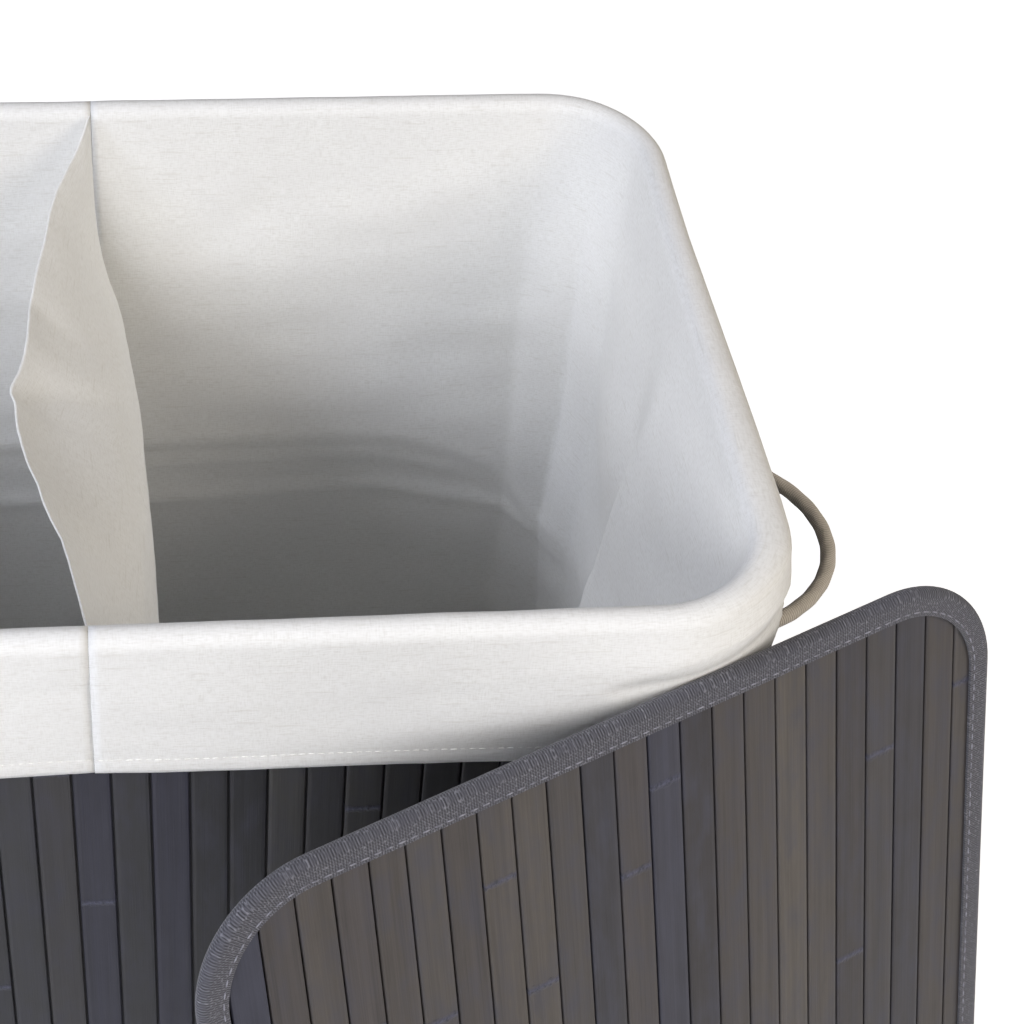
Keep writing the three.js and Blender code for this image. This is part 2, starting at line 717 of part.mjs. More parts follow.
const liner = new THREE.Group();
liner.add(
  piece('liner_wall_left', linerWall(-1), 'cotton'),
  piece('liner_wall_right', linerWall(1), 'cotton'),
  piece('liner_divider', linerDivider(), 'cotton'),
  piece('liner_floor_left', linerFloorSheet(-1), 'cotton'),
  piece('liner_floor_right', linerFloorSheet(1), 'cotton'),
);

const lid = new THREE.Group();
const lidPieces = new THREE.Group();
lidPieces.position.y = lidLength / 2;
lidPieces.add(
  piece('lid_slats', lidSlats(), 'lidSlats'),
  piece('lid_backing', lidBacking(), 'canvas'),
  piece('lid_binding', lidBinding(), 'tape'),
  piece('lid_wire', lidWire(), 'wire'),
);
lid.add(lidPieces);
standLid(lid);

const part = new THREE.Group();
part.add(
  hamper,
  liner,
  piece('rope_handle_left', ropeHandle(-1), 'rope'),
  piece('rope_handle_right', ropeHandle(1), 'rope'),
  lid,
);

export default part;
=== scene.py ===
# %% Load the fixed frame
import math

import bmesh
import bpy
from mathutils import Matrix, Vector, noise


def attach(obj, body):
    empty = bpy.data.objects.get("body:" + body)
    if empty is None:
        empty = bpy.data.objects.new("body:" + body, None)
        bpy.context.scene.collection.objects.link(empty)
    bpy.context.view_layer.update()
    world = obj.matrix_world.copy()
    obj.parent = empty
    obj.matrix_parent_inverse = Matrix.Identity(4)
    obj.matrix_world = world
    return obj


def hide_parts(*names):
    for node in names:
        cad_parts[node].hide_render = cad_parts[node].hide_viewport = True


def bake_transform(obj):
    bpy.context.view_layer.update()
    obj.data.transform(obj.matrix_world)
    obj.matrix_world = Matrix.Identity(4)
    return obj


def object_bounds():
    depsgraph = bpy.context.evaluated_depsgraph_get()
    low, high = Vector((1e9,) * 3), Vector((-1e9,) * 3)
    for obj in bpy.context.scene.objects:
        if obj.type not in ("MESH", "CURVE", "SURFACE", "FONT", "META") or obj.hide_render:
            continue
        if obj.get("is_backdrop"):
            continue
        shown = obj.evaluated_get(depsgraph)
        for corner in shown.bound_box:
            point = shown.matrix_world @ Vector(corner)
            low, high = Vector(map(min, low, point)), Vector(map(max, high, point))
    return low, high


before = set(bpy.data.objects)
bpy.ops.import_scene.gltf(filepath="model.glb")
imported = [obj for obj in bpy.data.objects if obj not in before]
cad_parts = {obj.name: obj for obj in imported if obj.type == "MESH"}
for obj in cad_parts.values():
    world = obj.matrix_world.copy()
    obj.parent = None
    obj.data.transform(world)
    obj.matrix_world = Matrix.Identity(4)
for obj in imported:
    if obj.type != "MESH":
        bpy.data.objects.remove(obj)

cad_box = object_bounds()
print("CAD box in metres:", cad_box)

# %% [markdown]
# # A laundry hamper with two bins
# The hamper is a wall of flat bamboo slats glued to canvas, bound along its edges with woven tape,
# and lined with a white cotton bag that folds over the rim. A cloth divider makes two bins, a rope
# handle sits at each end, and a loose slatted lid leans against the front right corner.
# The frame already holds every rigid piece at its real size. What is soft, sewn or rounded is made
# here: first the camera and light, then the ropes, the cloth and the tape, then the finishes, the
# metal and the stitches.

# %% [markdown]
# ## Sizes
# Every size is the one the frame was built to, in millimetres, so each new piece lands on the old
# one. `MM` turns them into Blender's metres at the last moment.

# %% Sizes in millimetres
MM = 0.001
LENGTH, WIDTH, RIM = 520.0, 335.0, 560.0
CORNER = 50.0
RUN_X = LENGTH / 2 - CORNER
RUN_Y = WIDTH / 2 - CORNER
QUARTER = math.pi / 2
CORNER_ARC = CORNER * QUARTER
BAG_HALF = RUN_X + CORNER_ARC + RUN_Y
WALL_MIDDLE = -2.45  # the wall's middle, as an offset from the slats' faces
TAPE_OUTSIDE = 4.45  # half the thickness of the bound edge
TAPE = 1.5
FOLD_RADIUS = 5.65  # of the cloth's middle where it folds over the rim
FOLD_CENTRE = 553.55
CUFF = 70.0
SIDES = {-1: "left", 1: "right"}
HEM = RIM - CUFF
CLOTH = 1.2


def smooth(low, high, value):
    t = min(max((value - low) / (high - low), 0.0), 1.0)
    return t * t * (3 - 2 * t)


def between(table, x):
    """The value at x of a table of (x, value) pairs in rising x."""
    if x <= table[0][0]:
        return table[0][1]
    for (x0, v0), (x1, v1) in zip(table, table[1:]):
        if x <= x1:
            return v0 + (v1 - v0) * (x - x0) / (x1 - x0)
    return table[-1][1]


# %% Small helpers for objects
def clear_selection():
    if bpy.context.mode != "OBJECT":
        bpy.ops.object.mode_set(mode="OBJECT")
    bpy.ops.object.select_all(action="DESELECT")


def only(piece):
    clear_selection()
    piece.select_set(True)
    bpy.context.view_layer.objects.active = piece


def bake_place(piece):
    """Moves the piece's place into its mesh, so that the object sits at the origin."""
    only(piece)
    bpy.ops.object.transform_apply(location=True, rotation=True, scale=True)


def smooth_by_angle(piece, degrees):
    only(piece)
    bpy.ops.object.shade_smooth_by_angle(angle=math.radians(degrees))


def new_piece(name, mesh):
    piece = bpy.data.objects.new(name, mesh)
    bpy.context.scene.collection.objects.link(piece)
    return piece


def copy_of(piece, name):
    """A copy with its own mesh."""
    return new_piece(name, piece.data.copy())


def piece_from(bm, name):
    """Turns a finished bmesh into an object."""
    bmesh.ops.recalc_face_normals(bm, faces=bm.faces)
    mesh = bpy.data.meshes.new(name)
    bm.to_mesh(mesh)
    bm.free()
    return new_piece(name, mesh)


# %% [markdown]
# ## Camera
# The picture was taken from above and in front of the right-hand half, with a long lens: the slat
# lines barely converge. The position and the lens were worked out from the rim, the hem and the
# slat lines, and the lens shift stands for the crop that the picture has had.

# %% Camera
bpy.ops.object.camera_add()
camera = bpy.context.object
camera.name = "camera"
right = Vector((0.99593, -0.08237, 0.03664))
down = Vector((-0.02662, -0.65698, -0.75344))
forward = Vector((0.08614, 0.74940, -0.65649))
rotation = Matrix((right, -down, -forward)).transposed().to_4x4()
camera.matrix_world = Matrix.Translation((0.02642, -0.74562, 1.19556)) @ rotation
camera.data.lens = 82.98
camera.data.sensor_width = 36
camera.data.shift_x = 0.15
camera.data.shift_y = -0.15
camera.data.clip_start = 0.01
bpy.context.scene.camera = camera
print("camera at", tuple(round(v, 4) for v in camera.location))


# %% [markdown]
# ## Colours and nodes
# Colours are written as the hex values that one would pick from a picture, and one function turns
# them into the linear values that shaders work in. One more function adds a node, sets it up and
# links its inputs, so that a material reads as a list of what feeds what. What is the same all
# over a surface is set on the shader when a material is started, and `feed` links the rest.

# %% Colours and nodes
def srgb(code):
    parts = [int(code[i:i + 2], 16) / 255 for i in (1, 3, 5)]
    linear = [c / 12.92 if c <= 0.04045 else ((c + 0.055) / 1.055) ** 2.4 for c in parts]
    return (*linear, 1.0)


def add(tree, kind, inputs=None, stops=None, **settings):
    """Adds a node. An input is a value, a hex colour, a socket, or a node's first output."""
    node = tree.nodes.new("ShaderNode" + kind)
    for key, value in settings.items():
        setattr(node, key, value)
    for key, value in (inputs or {}).items():
        if isinstance(value, bpy.types.Node):
            value = value.outputs[0]
        if isinstance(value, bpy.types.NodeSocket):
            tree.links.new(value, node.inputs[key])
        else:
            node.inputs[key].default_value = srgb(value) if isinstance(value, str) else value
    for index, (position, colour) in enumerate(stops or []):
        elements = node.color_ramp.elements
        element = elements[index] if index < 2 else elements.new(position)
        element.position = position
        element.color = srgb(colour) if isinstance(colour, str) else (colour, colour, colour, 1)
    return node


def start_material(name, **values):
    material = bpy.data.materials.new(name)
    material.use_nodes = True
    tree = material.node_tree
    shader = tree.nodes["Principled BSDF"]
    for key, value in values.items():
        shader.inputs[key.replace("_", " ")].default_value = value
    return material, tree, shader


def feed(tree, shader, **sources):
    """Links nodes or sockets to the shader's inputs of the same names."""
    for key, source in sources.items():
        if isinstance(source, bpy.types.Node):
            source = source.outputs[0]
        tree.links.new(source, shader.inputs[key.replace("_", " ")])


# %% [markdown]
# ## Studio
# A plain white sweep and three large soft lamps: the main one low in front, so that the bins stay
# dark at the bottom, a cooler one on the left that lights the right-hand end wall, and a warmer
# one on the right for the divider, the lid and the rope. The sky is white where the camera or a
# reflection sees it, and much weaker and a little warm where it lights the object.

# %% Lamps
def soft_lamp(name, place, aim, size, power, tint):
    bpy.ops.object.light_add(type="AREA", location=place)
    lamp = bpy.context.object
    lamp.name = name
    lamp.data.shape = "RECTANGLE"
    lamp.data.size, lamp.data.size_y = size
    lamp.data.energy = power
    lamp.data.color = srgb(tint)[:3]
    lamp.rotation_euler = (Vector(aim) - Vector(place)).to_track_quat("-Z", "Y").to_euler()
    return lamp


clear_selection()
soft_lamp("lamp_front", (-0.84, -2.20, 1.51), (0.05, 0.0, 0.45), (1.2, 0.9), 38, "#f9faff")
soft_lamp("lamp_left", (-1.52, -0.35, 2.05), (0.10, 0.0, 0.45), (0.75, 0.75), 26, "#e8eeff")
soft_lamp("lamp_right", (1.66, -0.90, 1.71), (0.10, 0.0, 0.45), (1.1, 1.1), 23, "#fff6ea")

# %% Sky
scene = bpy.context.scene
scene.view_settings.view_transform = "Standard"
world = bpy.data.worlds.new("studio_sky")
scene.world = world
world.use_nodes = True
tree = world.node_tree
tree.nodes.clear()
rays = add(tree, "LightPath").outputs
seen = add(tree, "Math", {0: rays["Is Camera Ray"], 1: rays["Is Glossy Ray"]},
           operation="MAXIMUM")
seen = add(tree, "Math", {0: seen, 1: rays["Is Transmission Ray"]}, operation="MAXIMUM")
dim = add(tree, "Background", {"Color": "#ffeedb", "Strength": 0.045})
white = add(tree, "Background", {"Color": "#ffffff", "Strength": 1.0})
sky = add(tree, "MixShader", {0: seen, 1: dim, 2: white})
add(tree, "OutputWorld", {"Surface": sky})

# %% Floor
SWEEP_START, SWEEP_CURVE = 2.6, 0.55  # metres behind the middle, and how fast it rises there
clear_selection()
bpy.ops.mesh.primitive_grid_add(x_subdivisions=2, y_subdivisions=40, size=1)
floor = bpy.context.object
floor.name = "studio_floor"
floor.scale = (9, 9, 1)
floor.location = (0, 1.0, -0.0005)
bake_place(floor)
for vertex in floor.data.vertices:
    vertex.co.z += SWEEP_CURVE * max(vertex.co.y - SWEEP_START, 0.0) ** 2
smooth_by_angle(floor, 60)
floor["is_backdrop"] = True

material, tree, shader = start_material("studio_paper", Base_Color=srgb("#f1f1f1"),
                                        Roughness=0.9, Specular_IOR_Level=0.2)
rays = add(tree, "LightPath").outputs
seen = add(tree, "Math", {0: rays["Is Camera Ray"], 1: rays["Is Glossy Ray"]},
           operation="MAXIMUM")
glow = add(tree, "Emission", {"Color": "#ffffff", "Strength": 0.75})
lit = add(tree, "AddShader", {0: shader, 1: glow})
paper = add(tree, "MixShader", {0: seen, 1: shader, 2: lit})
tree.links.new(paper.outputs[0], tree.nodes["Material Output"].inputs["Surface"])
floor.data.materials.append(material)

# %% [markdown]
# ## Following the outline
# The wall's outline is four straight runs and four quarter turns. The cloth and the tape both
# follow it, so one function walks it: it starts at the middle of the front, goes round the right
# end and stops at the middle of the back. The left half is its mirror image.

# %% The outline
def along_rim(distance):
    """The point at a distance along the outline, in mm, and the direction out of it."""
    if distance <= RUN_X:
        return Vector((distance, -RUN_Y - CORNER)), Vector((0, -1))
    distance -= RUN_X
    if distance <= CORNER_ARC:
        out = Vector((math.sin(distance / CORNER), -math.cos(distance / CORNER)))
        return Vector((RUN_X, -RUN_Y)) + out * CORNER, out
    distance -= CORNER_ARC
    if distance <= 2 * RUN_Y:
        return Vector((RUN_X + CORNER, distance - RUN_Y)), Vector((1, 0))
    distance -= 2 * RUN_Y
    if distance <= CORNER_ARC:
        out = Vector((math.cos(distance / CORNER), math.sin(distance / CORNER)))
        return Vector((RUN_X, RUN_Y)) + out * CORNER, out
    return Vector((RUN_X - distance + CORNER_ARC, RUN_Y + CORNER)), Vector((0, 1))


print("half the rim is", round(2 * BAG_HALF), "mm long")

# %% [markdown]
# ## Rope handles
# Each handle is a cotton rope, 7 mm thick, knotted inside the end wall. It leaves one eyelet
# square to the wall and goes in at the other, and it is stiff enough to stand out level between.
# It is one tube along a route of points. The tube carries its own map, metres along and turns
# round, so that the rope's ribs can follow it.

# %% A tube along a route
def tube(name, route, radius, sides, profile=None):
    """A closed tube along points in metres. profile(along, turn) scales the radius."""
    bm = bmesh.new()
    layer = bm.loops.layers.uv.new("along_and_round")
    lengths = [0.0]
    for a, b in zip(route, route[1:]):
        lengths.append(lengths[-1] + (b - a).length)
    side = Vector((0, 0, 1))
    rings = []
    for i, point in enumerate(route):
        ahead = (route[min(i + 1, len(route) - 1)] - route[max(i - 1, 0)]).normalized()
        side = (side - ahead * side.dot(ahead)).normalized()
        across = ahead.cross(side)
        ring = []
        for k in range(sides):
            turn = k / sides
            grow = profile(lengths[i], turn) if profile else 1.0
            angle = 2 * math.pi * turn
            ring.append(bm.verts.new(point + (side * math.cos(angle) + across * math.sin(angle))
                                     * radius * grow))
        rings.append(ring)
    for i in range(len(rings) - 1):
        for k in range(sides):
            n = (k + 1) % sides
            face = bm.faces.new((rings[i][k], rings[i][n], rings[i + 1][n], rings[i + 1][k]))
            spots = ((i, k), (i, k + 1), (i + 1, k + 1), (i + 1, k))
            for loop, (row, turn) in zip(face.loops, spots):
                loop[layer].uv = (lengths[row], turn / sides)
            face.smooth = True
    bm.faces.new(list(reversed(rings[0])))
    bm.faces.new(rings[-1])
    return piece_from(bm, name)


# %% The handles' route
ROPE = 7.0
EYELET_HALF = 58.5
EYELET_HEIGHT = 426.0
HANDLE_PIVOT = 265.1
HANDLE_REACH = 68.0
HANDLE_DROOP = math.radians(1)
LOOP_STEPS = 220
RIB, LAY = 1.15, 14  # mm from rib to rib, and along which a strand goes once round


def rope_route(side):
    """Points in metres from inside the front eyelet, round the loop, to inside the back one."""
    inside = [LENGTH / 2 + x for x in (-7.5, -5.0, -2.5, 0.0, 2.5)]
    points = [Vector((x, -EYELET_HALF, EYELET_HEIGHT)) for x in inside]
    for step in range(LOOP_STEPS + 1):
        angle = math.pi * step / LOOP_STEPS
        out = HANDLE_REACH * math.sin(angle)
        lean = HANDLE_DROOP * smooth(0, 12, out)
        points.append(Vector((HANDLE_PIVOT + out * math.cos(lean), -EYELET_HALF * math.cos(angle),
                              EYELET_HEIGHT - out * math.sin(lean))))
    back = [Vector((p.x, -p.y, p.z)) for p in reversed(points[:len(inside)])]
    return [Vector((p.x * side, p.y, p.z)) * MM for p in points + back]


def even(route, gap):
    """The same route with points a gap apart."""
    result, left = [route[0]], gap
    for a, b in zip(route, route[1:]):
        span = (b - a).length
        while left <= span:
            result.append(a.lerp(b, left / span))
            left += gap
        left -= span
    return result


def rope_profile(along, turn):
    """Low ribs across the rope and three strands that wind round it."""
    rib = math.cos(2 * math.pi * (along / (RIB * MM)))
    strand = math.cos(2 * math.pi * (3 * turn - along / (LAY * MM)))
    return 1 + 0.022 * rib + 0.03 * strand


ropes = []
for side, name in SIDES.items():
    route = even(rope_route(side), 0.24 * MM)
    rope = tube(f"rope_{name}", route, ROPE / 2 * MM, 20, rope_profile)
    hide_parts(f"rope_handle_{name}")
    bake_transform(rope)
    ropes.append(rope)

# %% [markdown]
# ## Cotton cloth
# A sheet of cloth is a grid of points on its middle surface. It gets its thickness by moving the
# grid half of it to each side, with a narrow wall all round, so that it is closed and can be
# exported. Its map is in metres along the two directions in which the cloth was cut, so the weave
# keeps its size however the cloth lies.

# %% A sheet from a grid
def sheet(name, grid, marks, thickness):
    """grid holds rows of points in mm, and marks the same rows of (u, v) in mm."""
    rows, columns = len(grid), len(grid[0])
    bm = bmesh.new()
    layer = bm.loops.layers.uv.new("cut")
    faces = [[], []]
    for r in range(rows):
        lines = [[], []]
        for c in range(columns):
            along = grid[min(r + 1, rows - 1)][c] - grid[max(r - 1, 0)][c]
            across = grid[r][min(c + 1, columns - 1)] - grid[r][max(c - 1, 0)]
            normal = along.cross(across).normalized()
            lines[0].append(bm.verts.new((grid[r][c] + normal * thickness / 2) * MM))
            lines[1].append(bm.verts.new((grid[r][c] - normal * thickness / 2) * MM))
        faces[0].append(lines[0])
        faces[1].append(lines[1])

    def quad(spots, smoothed=True):
        face = bm.faces.new([faces[side][r][c] for side, r, c in spots])
        for loop, (_, r, c) in zip(face.loops, spots):
            loop[layer].uv = (marks[r][c][0] * MM, marks[r][c][1] * MM)
        face.smooth = smoothed

    for r in range(rows - 1):
        for c in range(columns - 1):
            quad([(0, r, c), (0, r + 1, c), (0, r + 1, c + 1), (0, r, c + 1)])
            quad([(1, r, c), (1, r, c + 1), (1, r + 1, c + 1), (1, r + 1, c)])
    for r in range(rows - 1):
        for c in (0, columns - 1):
            quad([(0, r, c), (1, r, c), (1, r + 1, c), (0, r + 1, c)], False)
    for c in range(columns - 1):
        for r in (0, rows - 1):
            quad([(0, r, c), (0, r, c + 1), (1, r, c + 1), (1, r, c)], False)
    return piece_from(bm, name)


def steps(low, high, gap):
    count = max(1, round((high - low) / gap))
    return [low + (high - low) * i / count for i in range(count + 1)]


# %% [markdown]
# ## How the bags hang
# The cloth is cut a little larger than the wall, so it doesn't stretch tight. Five things shape
# it, each written as a distance that the cloth stands in from the wall: it draws in below the
# rim, a ledge with three creases from the way it was packed runs round it at about two thirds of
# its height, the corners fall in two flat panels with a fold between them, the handle's knots
# push the end wall into a slanting fold, and small soft wrinkles lie all over.

# %% Folds of the bags
# Tables of (distance along the wall from the middle, height), then of (height, depth or place).
UPPER_CREASE = [(-60, 368), (23, 361), (143, 362), (186, 347), (244, 305)]
LOWER_CREASE = [(-60, 318), (22, 319), (139, 325), (199, 311), (250, 292)]
SLACK, SLACK_WITHIN = 4.6, 32  # how far the cloth draws in, and how soon below the rim


def ruffle(x, z, size, seed):
    """Smooth noise from -1 to 1 with the given size in mm across and down."""
    return noise.noise(Vector((x / size[0], z / size[1], seed)))


def drawn_in(fall):
    """How far the cloth has drawn in from the wall at a distance below the rim."""
    return SLACK * (1 - math.exp(-max(fall, 0) / SLACK_WITHIN))


def crease_band(across, z):
    """A ledge between the upper and the lower crease, with a sharp line at each and between."""
    upper, lower = between(UPPER_CREASE, across), between(LOWER_CREASE, across)
    ledge = smooth(upper + 75, upper, z)
    under = smooth(lower - 70, lower, z)
    sharp = 1.6 * math.exp(-((z - upper) / 4.4) ** 2) + 2 * math.exp(-((z - lower) / 4) ** 2)
    sharp += 1.1 * math.exp(-((z - 0.62 * upper - 0.38 * lower) / 4) ** 2)
    return 6.5 * ledge * under + sharp


def corner_panels(distance, z):
    """Two flat panels in each corner, in place of a round turn, with a fold where they meet."""
    below = smooth(FOLD_CENTRE - 15, FOLD_CENTRE - 110, z)
    inner = CORNER - 10
    for start in (RUN_X, RUN_X + CORNER_ARC + 2 * RUN_Y):
        share = (distance - start) / CORNER_ARC
        if 0 < share < 1:
            angle = ((share * 2) % 1 - 0.5) * QUARTER / 2
            return below * inner * (1 - math.cos(QUARTER / 4) / math.cos(angle))
    return 0.0


BULGE = [(8, 5), (120, 14), (250, 22), (353, 22), (409, 17), (443, 13.5), (466, 10.5), (500, 6),
         (530, 2), (553, 0)]
RIDGE = [(8, 60), (120, 48), (250, 33), (353, 17), (409, 9), (443, 6), (466, 5), (553, 0)]
BEHIND_RIDGE = 34  # the fold's width behind its ridge
KNOT_BUMP, KNOT_FLAT, KNOT_REACH = 6.2, 8, 62  # its height, and how far it stays and reaches


def knot_fold(distance, z, side):
    """The fold of the end wall: rising from the front corner to a crisp ridge, falling away
    behind it, and pushed in by the two knots."""
    y = distance - BAG_HALF
    depth, ridge = between(BULGE, z), between(RIDGE, z)
    if side < 0:
        y, depth = -y, 0.6 * depth
    behind = max(1 - max(y - ridge, 0) / BEHIND_RIDGE, 0) ** 1.6
    rise = min(max((y + RUN_Y + 40) / (ridge + RUN_Y + 40), 0), 1)
    fold = depth * behind * rise ** 0.9
    bumps = 0.0
    for centre in (-EYELET_HALF, EYELET_HALF):
        far = math.hypot(y - centre, (z - EYELET_HEIGHT) * 0.8)
        bumps = max(bumps, KNOT_BUMP * (1 - smooth(KNOT_FLAT, KNOT_REACH, far)))
    return (fold ** 3 + bumps ** 3) ** (1 / 3)


def bag_inset(distance, z, side):
    """How far the cloth stands in from the wall, all five things together."""
    fall = FOLD_CENTRE - z
    inset = drawn_in(fall)
    across = 2 * BAG_HALF - distance if distance > BAG_HALF else distance
    clear = smooth(0, 14, across)
    if distance > BAG_HALF:
        band = crease_band(min(across, 250) * (1 if side > 0 else 0.9), z)
    else:
        band = 0.7 * crease_band(min(across, 250), z + 6)
    fade = 1 - 0.75 * smooth(RUN_Y + 30, RUN_Y - 20, abs(distance - BAG_HALF))
    inset += band * fade * clear
    inset += corner_panels(distance, z)
    inset += knot_fold(distance, z, side)
    loose = smooth(4, 60, fall)
    soft = 1.5 * ruffle(distance, z, (95, 60), 3.1 * side)
    soft += 0.7 * ruffle(distance, z, (34, 21), side)
    fine = 0.22 * ruffle(distance, z, (15, 8), 7.7 * side)
    inset += loose * (0.9 + soft + fine) * (0.35 + 0.65 * clear)
    return max(inset, -0.6)


# %% [markdown]
# ## How the cuff hangs
# The cuff is the end of the same cloth, folded out over the rim and hanging down 70 mm. It stands
# off the slats in long shallow waves and most of all at the front corners, except where the lid
# leans on it. Above the hem it bellies out a little, and the hem itself, a doubled edge held by
# one line of stitches, swings out along the front.

# %% Waves of the cuff
HEM_DEPTH = 7.5
# Tables of (distance from the middle of the front, millimetres).
HEM_REACH = [(0, 8), (90, 12), (160, 24), (240, 34), (330, 30), (500, 20)]
BELLY_OUT = [(0, 0.3), (90, 0.6), (170, 2.1), (240, 2.9), (330, 2.4), (500, 1.0)]
HEM_SWING = [(0, 0.4), (60, 0.9), (120, 1.1), (180, 1.4), (250, 0.6), (300, 0)]
STAND_OFF = [(215, 0), (250, 2.4), (275, 5.2), (300, 5.4), (346, 4.4), (406, 2.4), (466, 0.3),
             (500, 0)]
LID_TOUCHES, LID_TOP = 232.0, 528.0  # where the lid meets the cuff, round it and in height


def room_for_lid(distance, z):
    """How far the cuff may stand off before it meets the lid, which leans on its corner."""
    away = 0.27 * max(LID_TOP - z, 0) + 0.25 * max(z - LID_TOP, 0)
    return 0.2 + away + ((distance - LID_TOUCHES) / 20) ** 2


def cuff_stand(distance, z, side):
    """How far the cuff stands off the plane in which it would hang straight down."""
    down = min(max((FOLD_CENTRE - z) / (FOLD_CENTRE - HEM), 0), 1)
    wave = 0.5 + 0.5 * math.sin(distance / 34 + 1.3 * side) * math.sin(distance / 71 + 0.4)
    stand = (0.5 + 1.5 * wave) * math.sin(math.pi * min(down * 0.86, 1))
    reach, belly = between(HEM_REACH, distance), between(BELLY_OUT, distance)
    stand += belly * smooth(FOLD_CENTRE, HEM + reach + 6, z) * smooth(HEM - 2, HEM + reach, z)
    stand += 0.45 * ruffle(distance, z, (60, 16), 11 + side) * smooth(0, 0.25, down)
    stand += 0.22 * ruffle(distance, z, (17, 7), 17 + side) * smooth(0, 0.3, down)
    stand += 2.8 * down * between(HEM_SWING, distance)

    # The doubled hem, the groove of its stitches and the puckers beside them.
    line = HEM + HEM_DEPTH
    stand += 0.35 * smooth(line + 0.8, line - 0.8, z)
    stand -= 0.35 * math.exp(-((z - line) / 1.1) ** 2)
    pull = 2 * ruffle(distance, 0, (20, 1), 2)
    pucker = 0.5 + 0.5 * math.sin(2 * math.pi * distance / 5.6 + pull)
    stand += 0.16 * pucker * math.exp(-((z - line) / 3.5) ** 2)

    # The seam at the middle of the front and of the back, and the room that the lid leaves.
    seam = math.exp(-(distance / 1.6) ** 2) + math.exp(-((2 * BAG_HALF - distance) / 1.6) ** 2)
    stand += between(STAND_OFF, distance) * smooth(500, 548, z) - 0.15 * min(seam, 1)
    return min(stand, room_for_lid(distance, z)) if side > 0 else stand


# %% One bag's wall with its half of the cuff
BAG_LOW = 8.2  # the wall's lower edge, above the board
COLUMN_GAP, INNER_GAP, CUFF_GAP = 3.7, 4.6, 1.9
FOLD_STEPS = 12
HALF_SEAM = 0.05


def bag_wall(side):
    name = SIDES[side]
    columns = steps(HALF_SEAM, 2 * BAG_HALF - HALF_SEAM, COLUMN_GAP)
    inner_rows = steps(BAG_LOW, FOLD_CENTRE, INNER_GAP)
    fold_rows = [math.pi * (1 - i / FOLD_STEPS) for i in range(1, FOLD_STEPS)]
    cuff_rows = steps(HEM, FOLD_CENTRE, CUFF_GAP)[::-1]
    grid, marks = [], []
    for distance in columns:
        at, out = along_rim(distance)
        line, cut = [], []

        def place(offset, height):
            spot = at + out * (WALL_MIDDLE + offset)
            line.append(Vector((side * spot.x, spot.y, height)))

        for z in inner_rows:
            place(-FOLD_RADIUS - bag_inset(distance, z, side), z)
            cut.append((distance, z - BAG_LOW))
        run = FOLD_CENTRE - BAG_LOW
        lump = 0.35 * ruffle(distance, 0, (28, 1), 5 * side)
        for angle in fold_rows:
            radius = FOLD_RADIUS + lump * math.sin(angle)
            wide = cuff_stand(distance, FOLD_CENTRE, side) * max(math.cos(angle), 0)
            place(radius * math.cos(angle) + wide, FOLD_CENTRE + radius * math.sin(angle))
            cut.append((distance, run + FOLD_RADIUS * (math.pi - angle)))
        run += FOLD_RADIUS * math.pi
        for z in cuff_rows:
            place(FOLD_RADIUS + cuff_stand(distance, z, side), z)
            cut.append((distance, run + FOLD_CENTRE - z))
        grid.append(line)
        marks.append(cut)
    wall = sheet(f"bag_{name}", grid, marks, CLOTH)
    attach(wall, "liner")
    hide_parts(f"liner_wall_{name}")
    print(wall.name, "has", len(wall.data.polygons), "faces")
    return wall


bags = [bag_wall(side) for side in SIDES]

# %% [markdown]
# ## Floors of the bags
# Each bag has a flat cloth bottom on the board. It is a sheet too, cut to the shape that the
# bag's wall leaves, with a seam all round.

# %% Floors of the bags
BAG_FLOOR = 7.4  # the height of the cloth's middle
FLOOR_CLOTH = 0.9
FLOOR_GAP, FLOOR_STEPS = 7.4, 14


def bag_floor(side):
    name = SIDES[side]
    grid, marks = [], []
    for distance in steps(0.15, 2 * BAG_HALF - 0.15, FLOOR_GAP):
        at, out = along_rim(distance)
        spot = at + out * (WALL_MIDDLE - FOLD_RADIUS - bag_inset(distance, BAG_LOW, side) - 0.2)
        edge = Vector((side * spot.x, spot.y))
        line, cut = [], []
        for share in [i / FLOOR_STEPS for i in range(FLOOR_STEPS + 1)]:
            spot = Vector((side * 0.4, edge.y * 0.98)).lerp(edge, share)
            rise = 0.9 * ruffle(spot.x, spot.y, (40, 40), 9 * side)
            rise += 0.3 * ruffle(spot.x, spot.y, (14, 14), side)
            line.append(Vector((spot.x, spot.y, BAG_FLOOR + max(rise, 0) * (1 - share))))
            cut.append((spot.x, spot.y))
        grid.append(line)
        marks.append(cut)
    floor_sheet = sheet(f"bag_floor_{name}", grid, marks, FLOOR_CLOTH)
    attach(floor_sheet, "liner")
    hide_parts(f"liner_floor_{name}")
    return floor_sheet


bag_floors = [bag_floor(side) for side in SIDES]

# %% [markdown]
# ## Divider
# The divider is sewn to the middle of the front and of the back, and it is slack. Its hem leans
# over the left bin, and below the hem the cloth slopes down to a soft crease, bellies into the
# right bin and then falls plumb to the floor. The hem's line and the belly's were read from the
# picture. Each upright line of the grid is a smooth curve through a few places.

# %% Lines of the divider
DIVIDER_CLOTH = 0.7
DIVIDER_HALF = 156.6  # half its width, before it is fitted between the walls
DIVIDER_GAP, DIVIDER_STEPS = 3.4, 120
HEM_ENDS, HEM_SAG = 552, 27
